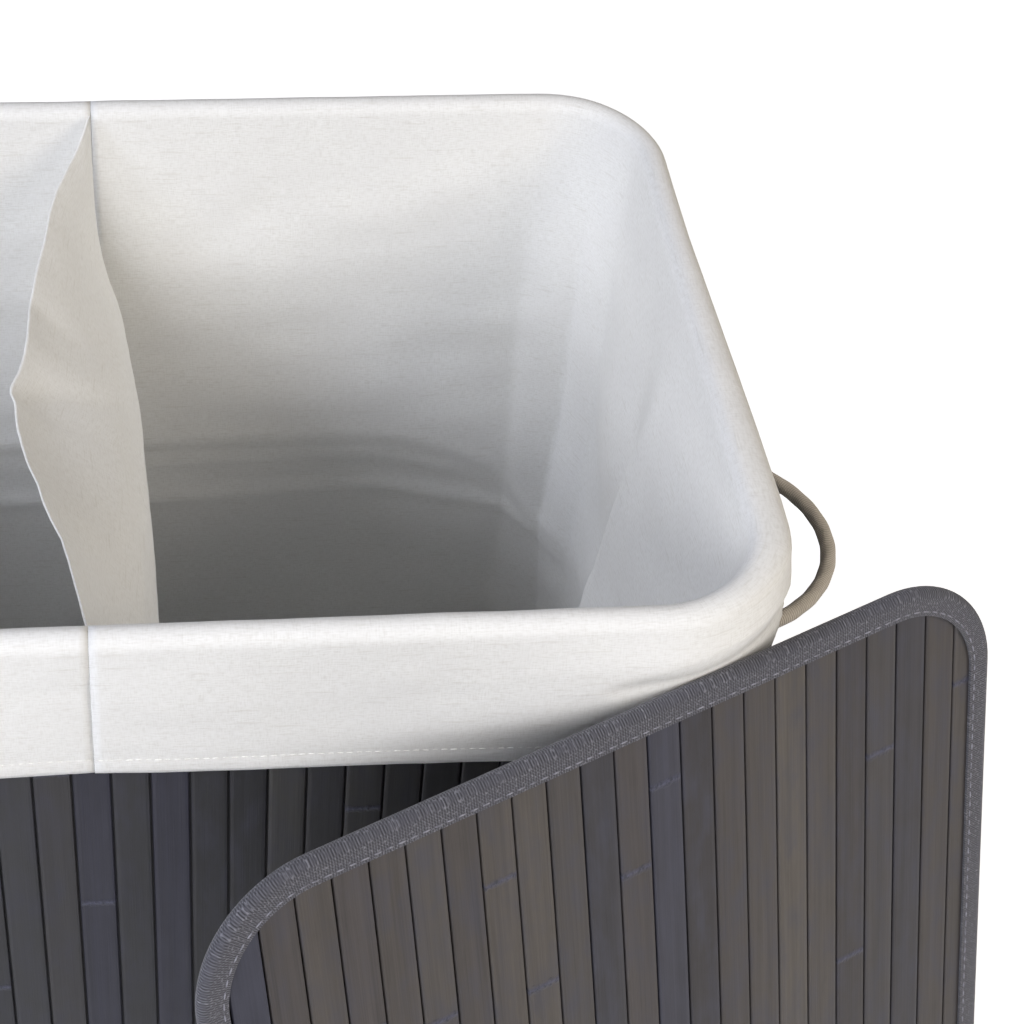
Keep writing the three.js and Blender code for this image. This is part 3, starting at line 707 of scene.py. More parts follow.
# Tables of (y, how far the cloth lies over the right bin). The hem lies over the left one.
HEM_LEAN = [(-157, -0.2), (-146, -2.5), (-128, -5.3), (-109, -8.7), (-94, -11.5), (-73, -18.5),
            (-56, -22.5), (-38, -27), (-20, -30.6), (-12, -31.8), (4, -32.7), (12, -32.1),
            (25, -29.7), (52, -27.7), (76, -24.9), (94, -21.1), (110, -19), (122, -15.9),
            (139, -8.5), (150, -3.0), (157.5, -0.3)]
BELLY = [(-157, 0), (-150, 8), (-140, 15), (-120, 21), (-90, 24.5), (-40, 24.5), (10, 22),
         (50, 19.5), (100, 15.5), (135, 12.5), (148, 8), (157, 0)]
CREASE = [(-157, 0), (-140, 7), (-110, 13), (-60, 16), (0, 14.5), (40, 13), (80, 13), (120, 9),
          (145, 5), (157, 0)]


def curve_through(points, count):
    """Points on a smooth curve through the given ones, spaced by the curve's own parameter."""
    padded = [points[0] * 2 - points[1], *points, points[-1] * 2 - points[-2]]
    spans = len(points) - 1
    result = []
    for i in range(count + 1):
        t = spans * i / count
        k = min(int(t), spans - 1)
        t -= k
        a, b, c, d = padded[k:k + 4]
        result.append(0.5 * (b * 2 + (c - a) * t + (a * 2 - b * 5 + c * 4 - d) * t * t
                             + (b * 3 - a - c * 3 + d) * t ** 3))
    return result


def divider():
    grid, marks = [], []
    for y in steps(-DIVIDER_HALF, DIVIDER_HALF, DIVIDER_GAP):
        slack = math.cos(y / 314 * math.pi)
        wavy = 1.6 * ruffle(y, 0, (26, 1), 4.2) + 0.7 * ruffle(y, 0, (9, 1), 1.2)
        kink = 2.2 * math.exp(-((y - 6) / 7) ** 2)
        hem = Vector((between(HEM_LEAN, y) - kink + wavy * slack * 0.6, y,
                      HEM_ENDS + 6 * smooth(138, 156, y) - HEM_SAG * slack + wavy * slack))
        fold, belly = between(CREASE, y), between(BELLY, y)
        line = [hem,
                Vector((hem.x * 0.72 + fold * 0.2, y, hem.z - 13)),
                Vector((fold * 0.62 + hem.x * 0.24, y, 495)),
                Vector((fold * 0.97, y, 474 + 6 * slack)),
                Vector((belly * 0.97, y, 452)),
                Vector((belly, y, 420)),
                Vector((belly * 0.8, y, 360)),
                Vector((belly * 0.5, y, 270)),
                Vector((belly * 0.22, y, 160)),
                Vector((0.3 * slack, y, 60)),
                Vector((0, y, 8.6))]
        line = curve_through(line, DIVIDER_STEPS)
        soft = []
        for i, point in enumerate(line):
            loose = slack ** 0.7 * smooth(0, 12, i)
            diagonal = (y - 6) * 0.78 + (point.z - 525) * 0.62
            tension = 1.5 * math.exp(-(diagonal / 6) ** 2) * smooth(455, 500, point.z)
            ridge = 2.2 * math.exp(-abs(i - 41 - 2.5 * math.sin(y / 37)) / 3.2)
            wrinkles = 1.9 * ruffle(y, point.z, (55, 48), 6.6)
            wrinkles += 0.6 * ruffle(y, point.z, (19, 15), 2.6)
            soft.append(point + Vector((loose * (ridge + wrinkles - tension), 0, 0)))
        wall = RUN_Y + CORNER + WALL_MIDDLE - FOLD_RADIUS
        for point in soft:
            inset = drawn_in(FOLD_CENTRE - point.z) + 0.9
            point.y = y * (wall - inset - DIVIDER_CLOTH) / DIVIDER_HALF
        run, cut = 0.0, [(y, 0.0)]
        for a, b in zip(soft, soft[1:]):
            run += (b - a).length
            cut.append((y, run))
        grid.append(soft)
        marks.append(cut)
    cloth = sheet("divider", grid, marks, DIVIDER_CLOTH)
    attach(cloth, "liner")
    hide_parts("liner_divider")
    return cloth, grid


divider_cloth, divider_grid = divider()
print("divider's hem, lowest point:", round(min(line[0].z for line in divider_grid)), "mm")

# %% [markdown]
# ## Woven tape
# Every cut edge of the slats is wrapped in a folded tape. By hand, one would bend a strip into a U
# and run it round the edge, and that is how it is made here: half a circle with two legs is
# the U, and it is extruded along each straight run and spun round each corner. Solidify gives the
# tape its thickness afterwards.

# %% Run a U round an outline
def select_where(strip, test):
    """In edit mode, selects the vertices that pass the test."""
    bpy.ops.mesh.select_all(action="DESELECT")
    bm = bmesh.from_edit_mesh(strip.data)
    for vertex in bm.verts:
        vertex.select = test(vertex)
    bm.select_flush_mode()
    bmesh.update_edit_mesh(strip.data)


def taped_edge(name, sides, radius, round_end, legs, start, half_runs, counts, turn_steps):
    """A U of tape, in mm, run round a rounded rectangle from the left end of its front.

    The U is half of a circle of so many sides, with its round end that way and two legs of
    (length, steps). half_runs and counts are those of the long and the short straights."""
    clear_selection()
    bpy.ops.mesh.primitive_circle_add(vertices=sides, radius=radius * MM,
                                      rotation=(QUARTER, 0, QUARTER))
    strip = bpy.context.object
    strip.name = name
    bake_place(strip)
    bpy.ops.object.mode_set(mode="EDIT")
    select_where(strip, lambda vertex: vertex.co.dot(round_end) < -1e-6)
    bpy.ops.mesh.delete(type="VERT")
    leg, leg_steps = legs
    for _ in range(leg_steps):
        select_where(strip, lambda vertex: len(vertex.link_edges) == 1)
        bpy.ops.mesh.extrude_vertices_move(
            TRANSFORM_OT_translate={"value": round_end * (-leg / leg_steps * MM)})
    bpy.ops.mesh.select_all(action="SELECT")
    bpy.ops.transform.translate(value=Vector(start) * MM)
    run_x, run_y = half_runs
    for right, up, go_x, go_y in ((1, -1, 1, 0), (1, 1, 0, 1), (-1, 1, -1, 0), (-1, -1, 0, -1)):
        count = counts[0] if go_x else counts[1]
        step = Vector((2 * run_x * go_x, 2 * run_y * go_y, 0)) * MM / count
        for _ in range(count):
            bpy.ops.mesh.extrude_region_move(TRANSFORM_OT_translate={"value": step})
        bpy.ops.mesh.spin(steps=turn_steps, angle=-QUARTER, axis=(0, 0, 1),
                          center=(right * run_x * MM, up * run_y * MM, 0))
    bpy.ops.mesh.select_all(action="SELECT")
    bpy.ops.mesh.remove_doubles(threshold=0.00002)
    bpy.ops.mesh.normals_make_consistent(inside=False)
    bpy.ops.object.mode_set(mode="OBJECT")
    return strip


def map_tape(strip, run_x, run_y):
    """Gives the tape a map of metres along the edge and metres round the U."""
    layer = strip.data.uv_layers.new(name="cut")
    for polygon in strip.data.polygons:
        middle = polygon.center / MM
        on_end, on_side = abs(middle.x) > run_x, abs(middle.y) > run_y
        for index in polygon.loop_indices:
            co = strip.data.vertices[strip.data.loops[index].vertex_index].co / MM
            past = (max(abs(co.x) - run_x, 0.0), max(abs(co.y) - run_y, 0.0))
            if on_end and on_side:
                along = CORNER * math.atan2(past[1], past[0])
            else:
                along = co.y if on_end else co.x
            layer.data[index].uv = (along * MM, (math.hypot(*past) + co.z) * MM)


def finish_tape(strip, thickness):
    only(strip)
    modifier = strip.modifiers.new("thickness", "SOLIDIFY")
    modifier.thickness = thickness * MM
    modifier.offset = -1
    modifier.use_even_offset = True
    bpy.ops.object.modifier_apply(modifier="thickness")
    smooth_by_angle(strip, 50)


# %% The hamper's two bound edges
TAPE_DEPTH = 24.0
start = (-RUN_X, -(RUN_Y + CORNER + WALL_MIDDLE), 0)
top_tape = taped_edge("tape_top", 32, TAPE_OUTSIDE, Vector((0, 0, 1)), (TAPE_DEPTH, 6), start,
                      (RUN_X, RUN_Y), (24, 14), 18)
map_tape(top_tape, RUN_X, RUN_Y)
finish_tape(top_tape, TAPE)
bottom_tape = copy_of(top_tape, "tape_bottom")
top_tape.location.z = FOLD_CENTRE * MM
bake_place(top_tape)
bottom_tape.rotation_euler.x = math.pi
bottom_tape.location.z = TAPE_OUTSIDE * MM
bake_place(bottom_tape)
for tape, node in ((top_tape, "top_binding"), (bottom_tape, "bottom_binding")):
    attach(tape, "hamper")
    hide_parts(node)
print("tape faces:", len(top_tape.data.polygons))

# %% [markdown]
# ## The lid's edge
# The lid is a flat panel of the same slats, bound with narrower tape. It is drawn lying flat and
# then stood up by one matrix, the same that stands the frame's lid against the corner.

# %% Where the lid stands
LID_LENGTH, LID_WIDTH, LID_RADIUS = 547.0, 361.0, 50.0
LID_STACK = 4.4
LID_MIDDLE = -LID_STACK / 2
LID_TAPE = 1.2
LID_OUTSIDE = LID_STACK / 2 + 0.3 + LID_TAPE  # from the middle to the tape's outer face
LID_TAPE_DEPTH = 11.0
LID_ASIDE, LID_CLEARANCE = 46, 0.3  # its middle's place beside the corner, and the gap there
lean, turn = math.radians(15), math.radians(25.3)
reach = (LID_LENGTH - LID_OUTSIDE) * math.sin(lean) - LID_MIDDLE * math.cos(lean) + LID_OUTSIDE
cuff_radius = CORNER + WALL_MIDDLE + FOLD_RADIUS + 0.8
lid_across = Vector((math.cos(turn), math.sin(turn), 0))
lid_towards = Vector((-math.sin(turn), math.cos(turn), 0))
lowest = LID_OUTSIDE - LID_OUTSIDE * math.cos(lean) - LID_MIDDLE * math.sin(lean)
lid_at = (Vector((RUN_X, -RUN_Y, lowest)) - lid_across * LID_ASIDE
          - lid_towards * (cuff_radius + LID_CLEARANCE + reach))
stand_lid = (Matrix.Translation(lid_at * MM) @ Matrix.Rotation(turn, 4, "Z")
             @ Matrix.Rotation(QUARTER - lean, 4, "X")
             @ Matrix.Translation((0, LID_LENGTH / 2 * MM, 0)))
print("lid's lower edge at", tuple(round(v) for v in lid_at))

# %% The lid's tape
# The same U, with its round end turned out to the side.
LID_RUN_X = LID_WIDTH / 2 - LID_RADIUS
LID_RUN_Y = LID_LENGTH / 2 - LID_RADIUS
start = (-LID_RUN_X, -(LID_RUN_Y + LID_RADIUS - LID_OUTSIDE), LID_MIDDLE)
lid_edge = taped_edge("tape_lid", 28, LID_OUTSIDE, Vector((0, -1, 0)),
                      (LID_TAPE_DEPTH - LID_OUTSIDE, 4), start, (LID_RUN_X, LID_RUN_Y),
                      (36, 60), 20)
map_tape(lid_edge, LID_RUN_X, LID_RUN_Y)
finish_tape(lid_edge, LID_TAPE)
lid_edge.matrix_world = stand_lid
bake_place(lid_edge)
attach(lid_edge, "lid")
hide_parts("lid_binding")
print("lid tape faces:", len(lid_edge.data.polygons))

# %% [markdown]
# ## Cotton sheeting
# The bags and the cuff are poly-cotton sheeting, bleached and plain woven from uneven yarns. What
# the eye gets is a matt, warm white with a fine grain: threads about half a millimetre apart, now
# and then a thicker length of yarn, a slub, that runs level round the hamper, and very rarely a
# dark speck of seed husk. The threads are drawn a little coarser than they are, because half a
# millimetre is about one pixel here. All of it is laid out on the cloth's own map.

# %% Cotton sheeting
COTTON, tree, shader = start_material("poly_cotton_sheeting", Roughness=0.85,
                                      Specular_IOR_Level=0.3, Sheen_Weight=0.12,
                                      Sheen_Roughness=0.6)
cut = add(tree, "UVMap", uv_map="cut")
level = add(tree, "Mapping", {"Vector": cut, "Scale": (1 / 0.0035, 1 / 0.0006, 1)})
level = add(tree, "TexNoise", {"Vector": level, "Scale": 1, "Detail": 1, "Roughness": 0.6})
upright = add(tree, "Mapping", {"Vector": cut, "Scale": (1 / 0.0006, 1 / 0.004, 1)})
upright = add(tree, "TexNoise", {"Vector": upright, "Scale": 1, "Detail": 1, "Roughness": 0.6})
threads = add(tree, "Mix", {0: 0.42, 2: level, 3: upright}, data_type="FLOAT")
slub = add(tree, "Mapping", {"Vector": cut, "Scale": (1 / 0.016, 1 / 0.0013, 1)})
slub = add(tree, "TexNoise", {"Vector": slub, "Scale": 1, "Detail": 0})
slub = add(tree, "MapRange", {"Value": slub, "From Min": 0.66, "From Max": 0.80})
soft = add(tree, "TexNoise", {"Vector": cut, "Scale": 38, "Detail": 3, "Roughness": 0.55})
husk = add(tree, "Mapping", {"Vector": cut, "Scale": (1 / 0.06, 1 / 0.06, 1)})
husk = add(tree, "TexVoronoi", {"Vector": husk, "Scale": 1, "Randomness": 1})
rare = add(tree, "SeparateColor", {0: husk.outputs["Color"]})
rare = add(tree, "Math", {0: rare.outputs[0], 1: 0.72}, operation="GREATER_THAN")
near = add(tree, "Math", {0: husk.outputs["Distance"], 1: 0.011}, operation="LESS_THAN")
husk = add(tree, "Math", {0: rare, 1: near}, operation="MULTIPLY")
colour = add(tree, "ValToRGB", {0: threads}, stops=[(0.32, "#e2e1dd"), (0.50, "#ededea"),
                                                    (0.70, "#f4f4f2")])
cloudy = add(tree, "MapRange", {"Value": soft, "From Min": 0.35, "From Max": 0.65, "To Max": 0.30})
slubby = add(tree, "Math", {0: slub, 1: 0.2}, operation="MULTIPLY")
for amount, tint in ((cloudy, "#e7e6e4"), (slubby, "#c9c5bb"), (husk, "#5a5248")):
    colour = add(tree, "Mix", {0: amount, 6: colour, 7: tint}, data_type="RGBA").outputs[2]
height = add(tree, "Math", {0: threads, 1: slub}, operation="ADD")
grain = add(tree, "Bump", {"Height": height, "Strength": 0.4, "Distance": 0.00012})
rumple = add(tree, "Bump", {"Height": soft, "Strength": 0.30, "Distance": 0.0016, "Normal": grain})
feed(tree, shader, Base_Color=colour, Normal=rumple)

# %% [markdown]
# ## Twisted cord
# The handles are soft cotton rope with a braided cover, undyed. Its ribs lie across it a little
# over a millimetre apart, so it looks finely ringed, and the hollows between them are painted
# darker: partly for the dust that gathers there, partly as painted shade.

# %% Cotton rope
ROPE_COTTON, tree, shader = start_material("undyed_cotton_rope", Roughness=0.9,
                                           Specular_IOR_Level=0.25, Sheen_Weight=0.1)
spot = add(tree, "SeparateXYZ", {0: add(tree, "UVMap", uv_map="along_and_round")})
rings = add(tree, "Math", {0: spot.outputs["X"], 1: 2 * math.pi / 0.00115}, operation="MULTIPLY")
rings = add(tree, "Math", {0: rings}, operation="SINE")
rings = add(tree, "MapRange", {"Value": rings, "From Min": -1.0, "From Max": 0.5})
fuzz = add(tree, "TexNoise", {"Vector": add(tree, "TexCoord").outputs["Object"], "Scale": 900,
                              "Detail": 3})
# Partly dust, partly painted shade: darkest in the hollows between the ribs, palest on their
# crests.
colour = add(tree, "ValToRGB", {0: rings}, stops=[(0.0, "#b5ada2"), (0.55, "#dfd8cd"),
                                                  (1.0, "#ebe5db")])
colour = add(tree, "Mix", {0: fuzz, 6: colour, 7: "#cfc7bb"}, data_type="RGBA").outputs[2]
ridge = add(tree, "Bump", {"Height": rings, "Strength": 0.6, "Distance": 0.0003})
fibre = add(tree, "Bump", {"Height": fuzz, "Strength": 0.4, "Distance": 0.0003, "Normal": ridge})
feed(tree, shader, Base_Color=colour, Normal=fibre)

# %% [markdown]
# ## Twill tape
# The binding is a soft, open cotton twill tape, dyed grey with a touch of lavender. Twill is
# woven so that each thread floats over two, which gives short diagonal ribs, here about a
# millimetre apart, and the dye takes unevenly, so that pale flecks show in it. The ribs' colour
# is painted shade and light: darker in the troughs, paler on the crests.

# %% Twill tape
TAPE_TWILL, tree, shader = start_material("grey_twill_tape", Roughness=0.9,
                                          Specular_IOR_Level=0.25, Sheen_Weight=0.2,
                                          Sheen_Roughness=0.5)
cut = add(tree, "UVMap", uv_map="cut")
spot = add(tree, "SeparateXYZ", {0: cut})
slant = add(tree, "Math", {0: spot.outputs["X"], 1: spot.outputs["Y"]}, operation="ADD")
wander = add(tree, "TexNoise", {"Vector": cut, "Scale": 260, "Detail": 2})
wander = add(tree, "Math", {0: wander, 1: 0.00015, 2: slant}, operation="MULTIPLY_ADD")
ribs = add(tree, "Math", {0: wander, 1: 2 * math.pi / 0.0014}, operation="MULTIPLY")
ribs = add(tree, "Math", {0: ribs}, operation="SINE")
yarn = add(tree, "Math", {0: spot.outputs["X"], 1: 2 * math.pi / 0.0011}, operation="MULTIPLY")
yarn = add(tree, "Math", {0: yarn}, operation="SINE")
puff = add(tree, "Math", {0: ribs, 1: 0.6, 2: yarn}, operation="MULTIPLY_ADD")
puff = add(tree, "MapRange", {"Value": puff, "From Min": -1.6, "From Max": 1.6})
fleck = add(tree, "Mapping", {"Vector": cut, "Scale": (1 / 0.0009, 1 / 0.0013, 1)})
fleck = add(tree, "TexNoise", {"Vector": fleck, "Scale": 1, "Detail": 1})
patch = add(tree, "TexNoise", {"Vector": cut, "Scale": 45, "Detail": 2})
# Painted shade and light: the ribs are darker in their troughs and paler on their crests.
colour = add(tree, "ValToRGB", {0: puff}, stops=[(0.1, "#36363b"), (0.55, "#525259"),
                                                 (0.95, "#66666d")])
light = add(tree, "MapRange", {"Value": fleck, "From Min": 0.56, "From Max": 0.74})
light = add(tree, "Math", {0: light, 1: 0.6}, operation="MULTIPLY")
dark = add(tree, "MapRange", {"Value": patch, "From Min": 0.45, "From Max": 0.75, "To Max": 0.35})
for amount, tint in ((light, "#94949d"), (dark, "#4a4a54")):
    colour = add(tree, "Mix", {0: amount, 6: colour, 7: tint}, data_type="RGBA").outputs[2]
ridge = add(tree, "Bump", {"Height": puff, "Strength": 0.5, "Distance": 0.0003})
fibre = add(tree, "Bump", {"Height": fleck, "Strength": 0.5, "Distance": 0.0004, "Normal": ridge})
feed(tree, shader, Base_Color=colour, Normal=fibre)

# %% [markdown]
# ## Stained bamboo
# The slats are split from bamboo culms, planed flat and stained dark, then glued side by side on
# canvas. Each comes from another culm and takes the stain in its own way, so every slat has its
# own tone: near black, slate, bluish or brownish. Long fibres run the whole length as fine
# streaks, the planed edges are a little paler, and where the culm had a knuckle a mottled, bluish
# band crosses the slat. A slat's number comes from its place along the wall, and all its random
# choices come from that number, so the pattern stays on the slat from any side.

# %% Stained bamboo
SLAT = 15.0  # mm from groove to groove
KNUCKLES = 290.0  # mm from knuckle to knuckle


def bamboo(name, tones, count_along, up, seed):
    """count_along(tree) gives the place in mm and the slats counted along the wall up to there,
    and up names the axis of their length."""
    material, tree, shader = start_material(name, Roughness=0.5, Specular_IOR_Level=0.2)
    place, counted = count_along(tree)
    length = place.outputs[up]
    number = add(tree, "Math", {0: counted}, operation="FLOOR")
    share = add(tree, "Math", {0: counted, 1: number}, operation="SUBTRACT")
    number = add(tree, "Math", {0: number, 1: seed + 0.5}, operation="ADD")
    luck = add(tree, "TexWhiteNoise", {"W": number}, noise_dimensions="1D")
    three = add(tree, "SeparateColor", {0: luck.outputs["Color"]}).outputs
    across = add(tree, "Math", {0: counted, 1: SLAT}, operation="MULTIPLY")
    apart = add(tree, "Math", {0: number, 1: 7.31}, operation="MULTIPLY")

    def along_fibres(wide, long, detail):
        """Noise with blobs of this size in mm, different on each slat."""
        flat = add(tree, "CombineXYZ", {
            0: add(tree, "Math", {0: across, 1: wide}, operation="DIVIDE"),
            1: add(tree, "Math", {0: length, 1: long}, operation="DIVIDE"), 2: apart})
        return add(tree, "TexNoise", {"Vector": flat, "Scale": 1, "Detail": detail,
                                      "Roughness": 0.6})

    fibres = along_fibres(0.55, 55, 3)
    streaks = along_fibres(4.2, 150, 2)
    cloud = along_fibres(8, 26, 3)
    base = add(tree, "ValToRGB", {0: luck.outputs["Value"]}, stops=tones)
    tint = add(tree, "MapRange", {"Value": cloud, "From Min": 0.42, "From Max": 0.7,
                                  "To Max": 0.55})
    colour = add(tree, "Mix", {0: tint, 6: base, 7: tones[-1][1]}, data_type="RGBA").outputs[2]
    grain = 0.09
    for source, weight in ((fibres, 0.70), (streaks, 0.60), (cloud, 0.55)):
        grain = add(tree, "Math", {0: source, 1: weight, 2: grain}, operation="MULTIPLY_ADD")
    edge = add(tree, "Math", {0: share, 1: 0.5}, operation="SUBTRACT")
    edge = add(tree, "Math", {0: edge}, operation="ABSOLUTE")
    worn = add(tree, "MapRange", {"Value": edge, "From Min": 0.36, "From Max": 0.455,
                                  "To Max": 0.08}, interpolation_type="SMOOTHSTEP")
    grain = add(tree, "Math", {0: grain, 1: worn}, operation="ADD")
    colour = add(tree, "VectorMath", {0: colour, 3: grain}, operation="SCALE")

    # Knuckles: at each slat's own height, and not on every slat.
    rise = add(tree, "Math", {0: three[1], 1: KNUCKLES, 2: length},
               operation="MULTIPLY_ADD")
    rise = add(tree, "Math", {0: rise, 1: KNUCKLES}, operation="DIVIDE")
    rise = add(tree, "Math", {0: rise}, operation="FRACT")
    far = add(tree, "Math", {0: rise, 1: 0.5}, operation="SUBTRACT")
    far = add(tree, "Math", {0: far}, operation="ABSOLUTE")
    mottle = along_fibres(1.6, 2.2, 2)
    far = add(tree, "Math", {0: mottle, 1: 0.016, 2: far}, operation="MULTIPLY_ADD")
    band = add(tree, "MapRange", {"Value": far, "From Min": 0.0155, "From Max": 0.0085,
                                  "To Max": 0.8})
    some = add(tree, "Math", {0: three[2], 1: 0.34}, operation="GREATER_THAN")
    band = add(tree, "Math", {0: band, 1: some}, operation="MULTIPLY")
    bruise = add(tree, "ValToRGB", {0: mottle}, stops=[(0.35, "#33343f"), (0.65, "#585a70")])
    colour = add(tree, "Mix", {0: band, 6: colour, 7: bruise}, data_type="RGBA").outputs[2]
    gloss = add(tree, "Math", {0: fibres, 1: 0.35, 2: 0.32}, operation="MULTIPLY_ADD")
    lines = add(tree, "Bump", {"Height": fibres, "Strength": 0.35, "Distance": 0.00025})
    crown = add(tree, "Bump", {"Height": worn, "Strength": 0.6, "Distance": -0.003,
                               "Normal": lines})
    knuckle = add(tree, "Bump", {"Height": band, "Strength": 0.5, "Distance": 0.0005,
                                 "Normal": crown})
    feed(tree, shader, Base_Color=colour, Roughness=gloss, Normal=knuckle)
    return material


def in_mm(tree, spot):
    """The place in mm, split in three."""
    large = add(tree, "VectorMath", {0: spot, 3: 1000.0}, operation="SCALE")
    return add(tree, "SeparateXYZ", {0: large})


# %% Slats of the wall
# The slats were set out along the film they are glued to, from the left end of the front.
FILM_RADIUS = CORNER - 2.8
FILM_ARC = FILM_RADIUS * QUARTER
FILM = 4 * (RUN_X + RUN_Y + FILM_ARC)
PITCH = FILM / round(FILM / SLAT)
FIRST = (RUN_X + 5.7) % PITCH  # the first groove's place: one lies 5.7 mm right of the middle
WALL_TONES = [(0.0, "#222225"), (0.25, "#323235"), (0.45, "#3e3d3c"), (0.62, "#29292e"),
              (0.8, "#393734"), (0.92, "#2d2d38")]


def straight(axis, sign, start):
    """Counts slats along a straight run, whose middle lies at start on the film."""
    def count_along(tree):
        place = in_mm(tree, add(tree, "TexCoord").outputs["Object"])
        run = add(tree, "Math", {0: place.outputs[axis], 1: sign, 2: start - FIRST},
                  operation="MULTIPLY_ADD")
        return place, add(tree, "Math", {0: run, 1: PITCH}, operation="DIVIDE")
    return count_along


def round_corner(x, y, turned, start):
    """Counts slats round a corner by the angle about its centre."""
    def count_along(tree):
        spot = add(tree, "TexCoord").outputs["Object"]
        spot = add(tree, "Mapping", {"Vector": spot, "Location": (x * MM, y * MM, 0),
                                     "Rotation": (0, 0, turned)}, vector_type="TEXTURE")
        place = in_mm(tree, spot)
        angle = add(tree, "Math", {0: place.outputs["Y"], 1: place.outputs["X"]},
                    operation="ARCTAN2")
        run = add(tree, "Math", {0: angle, 1: FILM_RADIUS, 2: start - FIRST},
                  operation="MULTIPLY_ADD")
        return place, add(tree, "Math", {0: run, 1: PITCH}, operation="DIVIDE")
    return count_along


runs = (("front", "X", 1, RUN_X), ("right", "Y", 1, RUN_Y),
        ("back", "X", -1, RUN_X), ("left", "Y", -1, RUN_Y))
corners = (("front_right", RUN_X, -RUN_Y), ("back_right", RUN_X, RUN_Y),
           ("back_left", -RUN_X, RUN_Y), ("front_left", -RUN_X, -RUN_Y))
panels, start = {}, 0.0
for index, ((side, axis, sign, half), (corner, x, y)) in enumerate(zip(runs, corners)):
    panels[side] = straight(axis, sign, start + half)
    start += 2 * half
    panels[corner] = round_corner(x, y, (index - 1) * QUARTER, start)
    start += FILM_ARC


def dress(name, material):
    """Gives a frame node a new material, which is all that may be changed on it."""
    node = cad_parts[name]
    for slot in node.material_slots:
        slot.material = material
    if not node.material_slots:
        node.data.materials.append(material)


for name, count_along in panels.items():
    dress(f"slats_{name}", bamboo(f"stained_bamboo_{name}", WALL_TONES, count_along, "Z", 3))
print("slats are", round(PITCH, 3), "mm from groove to groove")

# %% Slats of the lid
# The lid is seen in its own flat frame: turned back from where it stands.
LID_FIRST = 168.5  # its first groove lies that far left of its middle
LID_TONES = [(0.0, "#2e2d31"), (0.2, "#454140"), (0.4, "#56514c"), (0.58, "#38373b"),
             (0.76, "#4d4845"), (0.92, "#393a45")]
flat_lid = stand_lid.inverted()


def lid_count(tree):
    spot = add(tree, "Mapping", {"Vector": add(tree, "TexCoord").outputs["Object"],
                                 "Location": flat_lid.to_translation(),
                                 "Rotation": flat_lid.to_euler("XYZ")})
    place = in_mm(tree, spot)
    run = add(tree, "Math", {0: place.outputs["X"], 1: LID_FIRST}, operation="ADD")
    return place, add(tree, "Math", {0: run, 1: SLAT}, operation="DIVIDE")


dress("lid_slats", bamboo("stained_bamboo_lid", LID_TONES, lid_count, "Y", 41))

# %% [markdown]
# ## Backing, board and wire
# Behind the slats is a plain woven canvas, glued on. It shows inside the hamper when the liner is
# out and on the lid's back. The floor is a sheet of the same canvas with a hardboard panel on it:
# pressed wood fibre, smooth and brown, with short darker fibres. Steel wire runs inside the tape
# and holds each rim in shape. It was drawn through a die, so fine scratches run along it.

# %% Canvas
material, tree, shader = start_material("dark_cotton_canvas", Roughness=0.95,
                                        Specular_IOR_Level=0.2)
spot = add(tree, "TexCoord").outputs["Object"]
level = add(tree, "Mapping", {"Vector": spot, "Scale": (1 / 0.007, 1 / 0.007, 1 / 0.001)})
level = add(tree, "TexNoise", {"Vector": level, "Scale": 1, "Detail": 2})
upright = add(tree, "Mapping", {"Vector": spot, "Scale": (1 / 0.001, 1 / 0.001, 1 / 0.007)})
upright = add(tree, "TexNoise", {"Vector": upright, "Scale": 1, "Detail": 2})
threads = add(tree, "Mix", {0: 0.5, 2: level, 3: upright}, data_type="FLOAT")
colour = add(tree, "ValToRGB", {0: threads}, stops=[(0.35, "#27272b"), (0.52, "#36363b"),
                                                    (0.68, "#4a4a50")])
weave = add(tree, "Bump", {"Height": threads, "Strength": 0.6, "Distance": 0.0004})
feed(tree, shader, Base_Color=colour, Normal=weave)
for name in ("wall_backing", "lid_backing", "base_cloth"):
    dress(name, material)

# %% Hardboard
material, tree, shader = start_material("hardboard", Roughness=0.6)
spot = add(tree, "TexCoord").outputs["Object"]
fibres = add(tree, "TexNoise", {"Vector": spot, "Scale": 520, "Detail": 4, "Distortion": 1.5})
cloud = add(tree, "TexNoise", {"Vector": spot, "Scale": 14, "Detail": 2})
mixed = add(tree, "Math", {0: cloud, 1: 0.35, 2: fibres}, operation="MULTIPLY_ADD")
colour = add(tree, "ValToRGB", {0: mixed}, stops=[(0.45, "#6b5338"), (0.66, "#8a6f4e"),
                                                  (0.9, "#a08660")])
felt = add(tree, "Bump", {"Height": fibres, "Strength": 0.3, "Distance": 0.0002})
feed(tree, shader, Base_Color=colour, Normal=felt)
dress("base_board", material)

# %% Drawn wire
material, tree, shader = start_material("drawn_steel_wire", Metallic=1.0, Roughness=0.38)
spot = add(tree, "TexCoord").outputs["Object"]
scratch = add(tree, "TexNoise", {"Vector": spot, "Scale": 1400, "Detail": 2})
colour = add(tree, "ValToRGB", {0: scratch}, stops=[(0.3, "#8d8d8b"), (0.7, "#b3b3b0")])
rough = add(tree, "Math", {0: scratch, 1: 0.25, 2: 0.26}, operation="MULTIPLY_ADD")
feed(tree, shader, Base_Color=colour, Roughness=rough)
for name in ("rim_wire", "base_wire", "lid_wire"):
    dress(name, material)

# %% [markdown]
# ## Eyelets
# The rope passes through four eyelets, stamped from plated steel and rolled over on both faces of
# the wall. The rolled lip is a half round, so it is spun from its profile about the eyelet's
# axis. One is made and copied to the other three places.

# %% Eyelets
def lip(centre, radius, start, end, count=7):
    """Points on an arc, for a rolled edge."""
    return [(centre[0] + radius * math.cos(start + (end - start) * i / count),
             centre[1] + radius * math.sin(start + (end - start) * i / count))
            for i in range(count + 1)]


